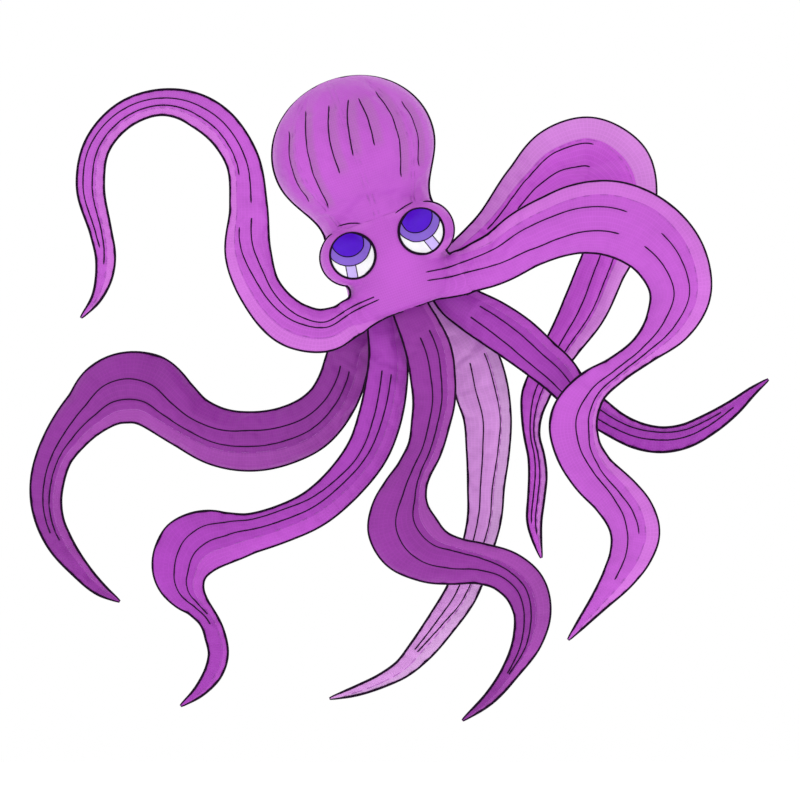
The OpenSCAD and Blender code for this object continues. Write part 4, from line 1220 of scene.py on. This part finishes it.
# Darts stitched into the mantle's front: places [across, up] in millimetres. The back has the same ones.
DARTS = [
    [(-139, 483), (-162, 417), (-165, 354), (-151, 300)],
    [(-82, 516), (-101, 464), (-118, 367), (-110, 270)],
    [(-21, 509), (-43, 453), (-53, 392), (-53, 340)],
    [(31, 506), (14, 467), (1, 412), (-6, 370)],
    [(56, 501), (61, 464), (60, 421), (54, 376)],
    [(104, 503), (120, 449), (120, 375), (91, 280)],
    [(157, 459), (169, 416), (168, 368), (143, 291)],
]


def dart_line(places, count=40):
    """A dart as height and turn round the head's axis from the front."""
    path = spline(np.array(places) * MM, count)
    radius = np.array([mantle_radius(h) for h in path[:, 1]])
    return path[:, 1], np.arcsin(np.clip(path[:, 0] / radius, -0.985, 0.985))


def dart_turn(places, up):
    """A dart's turn from the front at each height, and the heights of its ends."""
    line_up, line_turn = dart_line(places)
    order = np.argsort(line_up)
    return np.interp(up, line_up[order], line_turn[order]), line_up.min(), line_up.max()


MANTLE_COLUMNS = 168
GORE_SWELL = 0.0025        # how much lower the skin is on a gore seam than in the middle of a gore
DART_SINK = 0.0075
DART_SPREAD = 0.011


def mantle_surface(profile, turn):
    """Points on the mantle at rows of radius and height and columns of turns, and the painted shade beside
    its darts.
    """
    radius, up = np.array(profile).T
    gore = 2 * math.pi / 8
    swell = np.abs(np.sin((turn[None] % gore) / gore * math.pi)) - 1
    grown = GORE_SWELL * swell * (radius / MANTLE_R)[:, None]
    shade = np.zeros_like(grown)
    for places in DARTS:
        at, low, high = dart_turn(places, up)
        cover = smooth_step((up - low) / 0.04 + 0.5) * smooth_step((high - up) / 0.04 + 0.5)
        for line in (at, math.pi - at):
            away = (turn[None] - line[:, None] + math.pi) % (2 * math.pi) - math.pi
            arc = away * np.maximum(radius, 0.03)[:, None]
            grown -= DART_SINK * np.exp(-np.abs(arc) / DART_SPREAD) * cover[:, None]
            # painted shade: a greyer strip on one side of each dart, standing in for the shade of the fold
            beside = smooth_step((arc + 0.002) / 0.003) * smooth_step((0.032 - arc) / 0.014)
            shade = np.maximum(shade, beside * cover[:, None])
    return round_head(radius[:, None] + grown, turn, up[:, None]), shade


def mantle():
    """The mantle's gored skin, with its darts drawn in and blown up between them."""
    columns = MANTLE_COLUMNS
    bend = np.linspace(0, math.pi / 2 - 0.02, 34)[1:]
    profile = [(mantle_radius(h), h) for h in np.linspace(NECK_H, BULB_H, 24)]
    profile += [(MANTLE_R * math.cos(a), BULB_H + (CROWN_H - BULB_H) * math.sin(a)) for a in bend]
    turn = around(columns)
    points, shade = mantle_surface(profile, turn)
    uv = sheet_uv(around(columns, 1) * MANTLE_R, distances(np.array(profile))).transpose(1, 0, 2)
    shape = Shape().grid(points, uv, wrap=True, flip=True)
    shape.cap(-columns, columns)
    obj = shape.make("mantle_skin", [CLOTH["purple"]])
    # the painted shade beside the darts
    add_shade(obj.data, shade)
    pins = np.zeros(points.shape[:2])
    pins[:2] = pins[-2:] = 1
    up = np.array(profile)[:, 1]
    for places in DARTS:
        at, low, high = dart_turn(places, up)
        inside = np.flatnonzero((up > low) & (up < high))
        for line in (at, math.pi - at):
            pins[inside, np.round(line / (2 * math.pi) * columns).astype(int)[inside] % columns] = 1
    pins[:, [columns // 4, 3 * columns // 4]] = 1
    stiff = np.broadcast_to(np.sin(turn)[:, None] ** 3 * ACROSS, points.shape).reshape(-1, 3)
    blow_up(obj, pins.ravel(), **MANTLE_PUFF, stiff_way=stiff)
    return applied(obj, levels=1)


def region_rim(inside, centre, count=96, reach=0.12):
    """The edge of a convex region round a centre, found by halving steps outward."""
    turn = around(count)
    low = np.zeros(count)
    high = np.full(count, reach)
    for _ in range(24):
        mid = (low + high) / 2
        hit = inside(centre[0] + mid * np.sin(turn), centre[1] + mid * np.cos(turn))
        low, high = np.where(hit, mid, low), np.where(hit, high, mid)
    return np.stack([centre[0] + low * np.sin(turn), centre[1] + low * np.cos(turn)], -1)


def hemmed(name, rings, under, flat, material, flip=False):
    """A patch of rings that widen from its middle, with its edge turned under. flat gives the rings' UVs."""
    uv = np.concatenate([flat, flat[-1:]])
    uv = np.concatenate([uv, uv[:, :1]], 1)
    shape = Shape().grid(np.concatenate([rings, under[None]]), uv, wrap=True, flip=flip)
    shape.cap(0, rings.shape[1], flip=flip)
    return shape.make(name, [material])


def applique(name, tree, rim, centre, lift, material, crown=0.0012):
    """A patch of cloth that lies on the head's front inside a rim, padded a little."""
    share = np.sin(np.linspace(0.03, 1, 14) * math.pi / 2)
    flat = np.asarray(centre) + share[:, None, None] * (rim[None] - centre)
    places, ways = on_front(tree, flat[..., 0], flat[..., 1])
    height = lift + crown * np.sqrt(np.clip(1 - share**2, 0, 1))
    return hemmed(name, places + height[:, None, None] * ways, places[-1] - 0.001 * ways[-1], flat, material)


def cord_on_front(shape, tree, places, radius, lift=0.0, closed=False, flat=0.8):
    """Lays a cord on the head's front along places [across, up]."""
    path, ways = on_front(tree, places[:, 0], places[:, 1])
    path = smoothed(path + lift * ways, 2, closed)
    add_tube(shape, path, radius if closed else tapered(path, radius), out=ways, flat=flat, closed=closed)


def eye(side, tree):
    """White, light patch, iris and pupil laid over each other, their outlines, and the dark binding."""
    word = "left" if side < 0 else "right"
    centre = np.array([side * EYE_X, MOUND_H])

    def in_circle(radius, rise=0.0):
        return lambda a, b: (a - centre[0]) ** 2 + (b - centre[1] - rise) ** 2 < radius**2

    white = in_circle(WHITE_R)
    turn = side * GLINT_TILT[side]
    middle = centre + np.array([side * GLINT_AT[0], GLINT_AT[1]])

    def bar(a, b):
        return np.abs((a - middle[0]) * math.cos(turn) + (b - middle[1]) * math.sin(turn)) < GLINT_W / 2

    regions = [
        ("white", "eye_white", white, centre, 0.0010, WHITE),
        ("glint", "eye_glint", bar, middle, 0.0018, GLINT),
        ("iris", "iris", in_circle(IRIS_R, GAZE), centre + (0, 0.020), 0.0028, IRIS),
        ("pupil", "pupil", in_circle(PUPIL_R, GAZE + PUPIL_RISE), centre + (0, 0.028), 0.0040, PUPIL),
    ]
    outlines = Shape()
    for part, node, inside, start, lift, material in regions:
        rim = region_rim(lambda a, b: white(a, b) & inside(a, b), start)
        patch = applique(f"{word}_eye_{part}_cloth", tree, rim, start, lift, material)
        fasten(patch, part + "_cloth", f"{word}_{node}")
        if part != "white":
            cord_on_front(outlines, tree, rim, OUTLINE_R, lift + 0.0002, closed=True)
    fasten(outlines.make(f"{word}_eye_outlines", [PIPING]), "dark_webbing")
    ring = Shape()
    turns = around(120)
    round_eye = centre + (WHITE_R + 0.0022) * np.stack([np.sin(turns), np.cos(turns)], -1)
    cord_on_front(ring, tree, round_eye, EYE_RING_R, 0.0018, closed=True, flat=0.75)
    fasten(ring.make(f"{word}_eye_ring", [PIPING]), "dark_webbing", f"{word}_eye_binding")


BROWS = ([(-101, 218), (-74, 216), (-46, 206)], [(45, 200), (70, 208), (96, 212)])     # across, up, in mm
CAST_REACH = 0.03          # how far over the skin the head's cords start before they are cast onto it


def head_threads():
    """Topstitching beside the mantle's gore seams, and its darts and the brows in thread."""
    gores = Shape()
    height = np.concatenate([np.linspace(NECK_H + 0.006, BULB_H, 30),
                             BULB_H + (CROWN_H - BULB_H) * np.sin(np.linspace(0.05, 1.30, 36))])
    radius = np.array([mantle_radius(h) for h in height])
    for number in range(8):
        for off in (-0.006, 0.006):
            turn = number * math.pi / 4 + off / np.maximum(radius, 0.04)
            aim = round_head(1.0, turn, 0) - BASE
            start = round_head(radius, turn, height)
            path = smoothed(cast(head_tree, start + CAST_REACH * aim, -aim, start), 3)
            add_tube(gores, path, TOPSTITCH_R, out=aim, flat=0.6, sides=6)
    fasten(gores.make("mantle_topstitching", [TOPSTITCH]), "dark_webbing")
    darts = Shape()
    for places in DARTS:
        line_up, line_turn = dart_line(places)
        for turn in (line_turn, math.pi - line_turn):
            aim = round_head(1.0, turn, 0) - BASE
            start = round_head(np.array([mantle_radius(h) for h in line_up]) - 0.0085, turn, line_up)
            path = smoothed(cast(head_tree, start + CAST_REACH * aim, -aim, start), 1)
            add_tube(darts, path, tapered(path, SEAM_R), out=aim, flat=0.7)
    for brow in BROWS:
        cord_on_front(darts, head_tree, spline(np.array(brow) * MM), SEAM_R)
    fasten(darts.make("mantle_darts", [THREAD]), "dark_webbing")


def head_piping():
    """Piping along the mantle's outline, round the mounds and along the hem of the face."""
    piping = Shape()
    down = np.linspace(NECK_H - 0.012, BULB_H, 30)[:-1]
    side_radius = np.array([mantle_radius(h) for h in down])
    bend = np.linspace(0, math.pi, 90)
    height = np.concatenate([down, BULB_H + (CROWN_H - BULB_H) * np.sin(bend), down[::-1]])
    across = np.concatenate([side_radius, MANTLE_R * np.cos(bend), -side_radius[::-1]])
    path = in_head(across, 0 * height, height)
    away = unit(path - in_head(0 * height, 0 * height, np.minimum(height, BULB_H)))
    path = cast(head_tree, path + CAST_REACH * away, -away, path) + 0.0020 * away
    add_tube(piping, smoothed(path, 3), PIPING_R, out=away)
    for side, name in zip((-1, 1), FACE_ARMS):
        bend = np.radians(np.linspace(76, -66, 46))
        ring = in_head(side * (MOUND_X + MOUND_R * np.cos(bend)), 0 * bend - MOUND_Y,
                       MOUND_H + MOUND_R * np.sin(bend))
        ring = nearest(face_tree, ring)[0]
        corner = nearest(face_tree, arms[name].edge(np.array([0.0, 0.012]), side))[0]
        path, out = nearest(face_tree, spline(np.concatenate([ring[:-3:3], corner]), step=0.005))
        add_tube(piping, smoothed(path + 0.0008 * out, 3), tapered(path, PIPING_R, 0.012), out=out)
    first, last = (nearest(face_tree, arms[name].edge(np.linspace(0.018, 0.0, 4), -side))[0]
                   for side, name in zip((-1, 1), FACE_ARMS))
    hem = []
    for x in np.linspace(first[-1, 0], last[-1, 0], 56)[1:-1]:
        for z in np.arange(-0.26, 0.05, 0.001):
            hit = face_tree.ray_cast(Vector((x, -0.7, z)), Vector(BACK))[0]
            if hit is not None:
                hem.append(hit[:])
                break
    add_tube(piping, smoothed(np.concatenate([first, np.array(hem), last[::-1]]), 6), PIPING_R, out=-BACK)
    fasten(piping.make("head_piping", [PIPING]), "dark_webbing")


arms = {name: Arm(name, **facts) for name, facts in ARMS.items()}
face = face_skin([arms[name] for name in FACE_ARMS])
bulb = mantle()
face_tree = tree_of(face)
head_tree = tree_of(face, bulb)
for arm in arms.values():
    dress_arm(arm, face, face_tree)
fasten(face, "purple_ripstop", "face_front", "face_back", "left_eye_mound", "right_eye_mound", "base_panel")
fasten(bulb, "purple_ripstop", *[f"mantle_gore_{k}" for k in range(1, 9)])
for eye_side in (-1, 1):
    eye(eye_side, head_tree)
head_threads()
head_piping()

# ---- inside the head: baffles, the band in the neck seam ----
HOLE_R = 0.070             # the air passes through the baffles here
HEM_ROLL = 0.002


def ring_piece(name, profile, material, slot, node):
    """A ring of cloth about the head's axis, from a closed profile of radius and height."""
    shape = Shape()
    revolved(shape, profile + profile[:1], 128)
    fasten(shape.make(name, [material]), slot, node)


def flat_ring(outer, up):
    """The profile of a flat ring with a thicker rolled hem round its hole."""
    roll = np.linspace(-2.6, -5.9, 9)
    rolled = [(HOLE_R + HEM_ROLL * math.cos(a), up + HEM_ROLL * math.sin(a)) for a in roll]
    return rolled + [(outer, up + 0.0005), (outer, up - 0.0005)]


BAND_R = NECK_R - 0.008
for ring_name, outer_r, ring_up in (("mantle_baffle", MANTLE_R - 0.014, BULB_H),
                                    ("neck_baffle", NECK_R - 0.010, NECK_H - 0.020)):
    ring_piece(ring_name + "_cloth", flat_ring(outer_r, ring_up), BAFFLE, "baffle_ripstop", ring_name)
band_profile = [(BAND_R + out, NECK_H + up) for out, up in (
    (0, -0.008), (0.001, -0.008), (0.0015, 0), (0.001, 0.008), (0, 0.008))]
ring_piece("neck_band_tape", band_profile, WEBBING, "dark_webbing", "neck_band")


# ---- soft fittings: webbing tabs, hoop sleeve, zip tape, crown patch, valve flap ----
def box_uv(mesh):
    """UVs in metres, each face flat on the axis that it looks along most."""
    layer = mesh.uv_layers.get("UVMap") or mesh.uv_layers.new(name="UVMap")
    for polygon in mesh.polygons:
        axis = max(range(3), key=lambda k: abs(polygon.normal[k]))
        u, v = [k for k in range(3) if k != axis]
        for loop in polygon.loop_indices:
            co = mesh.vertices[mesh.loops[loop].vertex_index].co
            layer.data[loop].uv = (co[u], co[v])


def softened(name, node, voxel, material, slot, body="head", gather=0.0, rounds=2):
    """A soft piece with the outline of a CAD node, its edges rounded and its surface gathered a little."""
    obj = bpy.data.objects.new(name, NODES[node].data.copy())
    SCENE.collection.objects.link(obj)
    mesh = melted(obj, voxel, rounds, material)
    if gather:
        points = vertices(mesh)
        across, back, _ = to_head(points)
        turn = np.arctan2(across - INTAKE_AT[0], back - INTAKE_AT[1])
        points += (gather * np.sin(turn * 34 + 2 * np.sin(turn * 7)))[:, None] * vertices(mesh, "normal")
        move_vertices(mesh, points)
    box_uv(mesh)
    fasten(obj, slot, node, body=body)
    return obj


STITCH_L = 0.0028
STITCH_GAP = 0.0012


def stitch_row(shape, piece, path, way):
    """Single stitches along a path, laid on the piece that the way points at."""
    tree = tree_of(piece)
    for number in range(int(distances(path)[-1] / (STITCH_L + STITCH_GAP))):
        points = resampled(path, number * (STITCH_L + STITCH_GAP) + np.linspace(0, STITCH_L, 4))
        laid = cast(tree, points - 0.02 * way, way, points)
        add_tube(shape, laid, TOPSTITCH_R * np.array([0.5, 1, 1, 0.5]), out=-way, flat=0.6, sides=6)


def sewn_square(middle, first, second, half):
    """The outline of a square with a cross in it, as one path of stitches."""
    corners = [(-1, -1), (1, -1), (1, 1), (-1, 1), (-1, -1), (1, 1), (1, -1), (-1, 1)]
    places = np.array([middle + half * (a * first + b * second) for a, b in corners])
    return resampled(places, np.linspace(0, distances(places)[-1], 200))


X_WAY = np.array([1.0, 0, 0])
Z_WAY = np.array([0, 0, 1.0])
TAB_SEWN_AT = 0.013        # middle of a tab's stitching, from its outer end
PATCH_HALF = 0.024


def webbing_tab(name, stitching):
    """A tab's webbing, and the square of webbing that spreads its pull over the skin."""
    tab = softened(name + "_webbing", name, 0.0007, WEBBING, "dark_webbing")
    corners = vertices(tab.data)
    middle = (corners.min(0) + corners.max(0)) / 2
    middle[1] = corners[:, 1].min() + TAB_SEWN_AT
    for way in (X_WAY, -X_WAY):
        stitch_row(stitching, tab, sewn_square(middle, BACK, Z_WAY, 0.009), way)
    a, b = np.meshgrid(np.linspace(-1, 1, 17), np.linspace(-1, 1, 17), indexing="ij")
    flat = middle + PATCH_HALF * (a[..., None] * X_WAY + b[..., None] * Z_WAY)
    start = flat.reshape(-1, 3)
    laid = cast(head_tree, start + 0.08 * BACK, -BACK, start).reshape(flat.shape)
    laid[..., 1] += -0.0008 + 0.0026 * np.clip(1 - np.maximum(abs(a), abs(b)) ** 8, 0, 1)
    patch = Shape().grid(laid, flat[..., ::2]).make(name + "_patch", [WEBBING])
    fasten(patch, "dark_webbing")
    stitch_row(stitching, patch, sewn_square(middle + 0.03 * BACK, X_WAY, Z_WAY, 0.020), -BACK)


# share of the way down from the zip's tape to the mantle, and how far out from the tape that is
PLACKET = ((0.0, 0.0005), (0.25, 0.003), (0.55, 0.0075), (0.8, 0.011), (1.0, 0.014))


def zip_placket(stitching):
    """The cloth from the zip's tape down to the mantle, all round."""
    tape = vertices(NODES["zip_tape"].data)
    tape_middle = (tape.min(0) + tape.max(0)) / 2
    across, back, _ = to_head(tape_middle)
    out_way = unit(across * ACROSS + back * BACK)
    side_way = np.cross(UP, out_way)
    tape_up = (tape - tape_middle) @ UP
    top_end = tape[tape_up > tape_up.max() - 0.002].mean(0)
    low_end = tape[tape_up < tape_up.min() + 0.002].mean(0)
    long_way = unit(top_end - low_end)
    zip_middle = (top_end + low_end) / 2
    face_way = unit(np.cross(side_way, long_way))
    if face_way @ out_way < 0:
        face_way = -face_way
    columns = 96
    square = np.stack([np.cos(around(columns)), np.sin(around(columns))], -1)
    square = square / (np.abs(square) ** 8).sum(-1, keepdims=True) ** (1 / 8)
    rows = []
    for share, extra in PLACKET:
        rim = (zip_middle + (ZIP_L / 2 - 0.001 + extra) * square[:, :1] * long_way
               + (ZIP_W / 2 - 0.002 + extra) * square[:, 1:] * side_way)
        ground = cast(head_tree, rim + 0.05 * face_way, -face_way, rim)
        stand = np.sum((rim - ground) * face_way, 1)
        rows.append(ground + (stand * (1 - smooth_step(share)) + 0.0012 - 0.0016 * share)[:, None] * face_way)
    uv = sheet_uv(np.linspace(0, PLACKET[-1][1], len(rows)), np.linspace(0, 2 * (ZIP_L + ZIP_W), columns + 1))
    placket = Shape().grid(np.array(rows), uv[..., ::-1], wrap=True).make("zip_placket", [CLOTH["purple"]])
    fasten(placket, "purple_ripstop")
    for off in (0.35, 0.75):
        loop = rows[1] * (1 - off) + rows[3] * off
        stitch_row(stitching, placket, np.concatenate([loop, loop[:1]]) + 0.004 * face_way, -face_way)


def crown_patch(stitching):
    """The round patch on the point where the gores meet."""
    share = np.linspace(0.02, 1, 16)
    turn = around(72)
    flat = PATCH_R * share[:, None, None] * np.stack([np.sin(turn), np.cos(turn)], -1)
    level = in_head(flat[..., 0], flat[..., 1], np.full(flat.shape[:2], CROWN_H))
    start = level.reshape(-1, 3)
    laid = cast(head_tree, start + 0.02 * UP, -UP, start).reshape(level.shape)
    laid += (0.0012 * np.sqrt(np.clip(1.04 - share**6, 0, 1)))[:, None, None] * UP
    patch = hemmed("crown_patch_cloth", laid, laid[-1] - 0.0016 * UP, flat, CLOTH["purple_band"], flip=True)
    fasten(patch, "purple_ripstop", "crown_patch")
    path = BASE + 0.92 * (level[-1] - CROWN_H * UP - BASE) + CROWN_H * UP
    stitch_row(stitching, patch, np.concatenate([path, path[:1]]), -UP)


fitting_stitches = Shape()
for tab_name in ("tow_tab", "crown_tab"):
    webbing_tab(tab_name, fitting_stitches)
softened("hoop_sleeve_cloth", "hoop_sleeve", 0.0008, CLOTH["plum"], "plum_ripstop", gather=0.0003, rounds=5)
softened("valve_flap_cloth", "valve_flap", 0.0008, BAFFLE, "baffle_ripstop", body="valve_flap", rounds=3)
softened("zip_tape_cloth", "zip_tape", 0.0006, WEBBING, "dark_webbing")
zip_placket(fitting_stitches)
crown_patch(fitting_stitches)
fasten(fitting_stitches.make("fitting_stitches", [TOPSTITCH]), "dark_webbing")

# ---- fittings that keep their CAD shape ----
FINISH = {
    "intake_hoop": ROD, "hoop_ferrule": NICKEL, "intake_mesh": MESH, "zip_teeth": NYLON, "zip_slider": NICKEL,
    "tow_eyelet": BRASS, "crown_eyelet": BRASS,
}
for node_name, finish in FINISH.items():
    NODES[node_name].data.materials.clear()
    NODES[node_name].data.materials.append(finish)
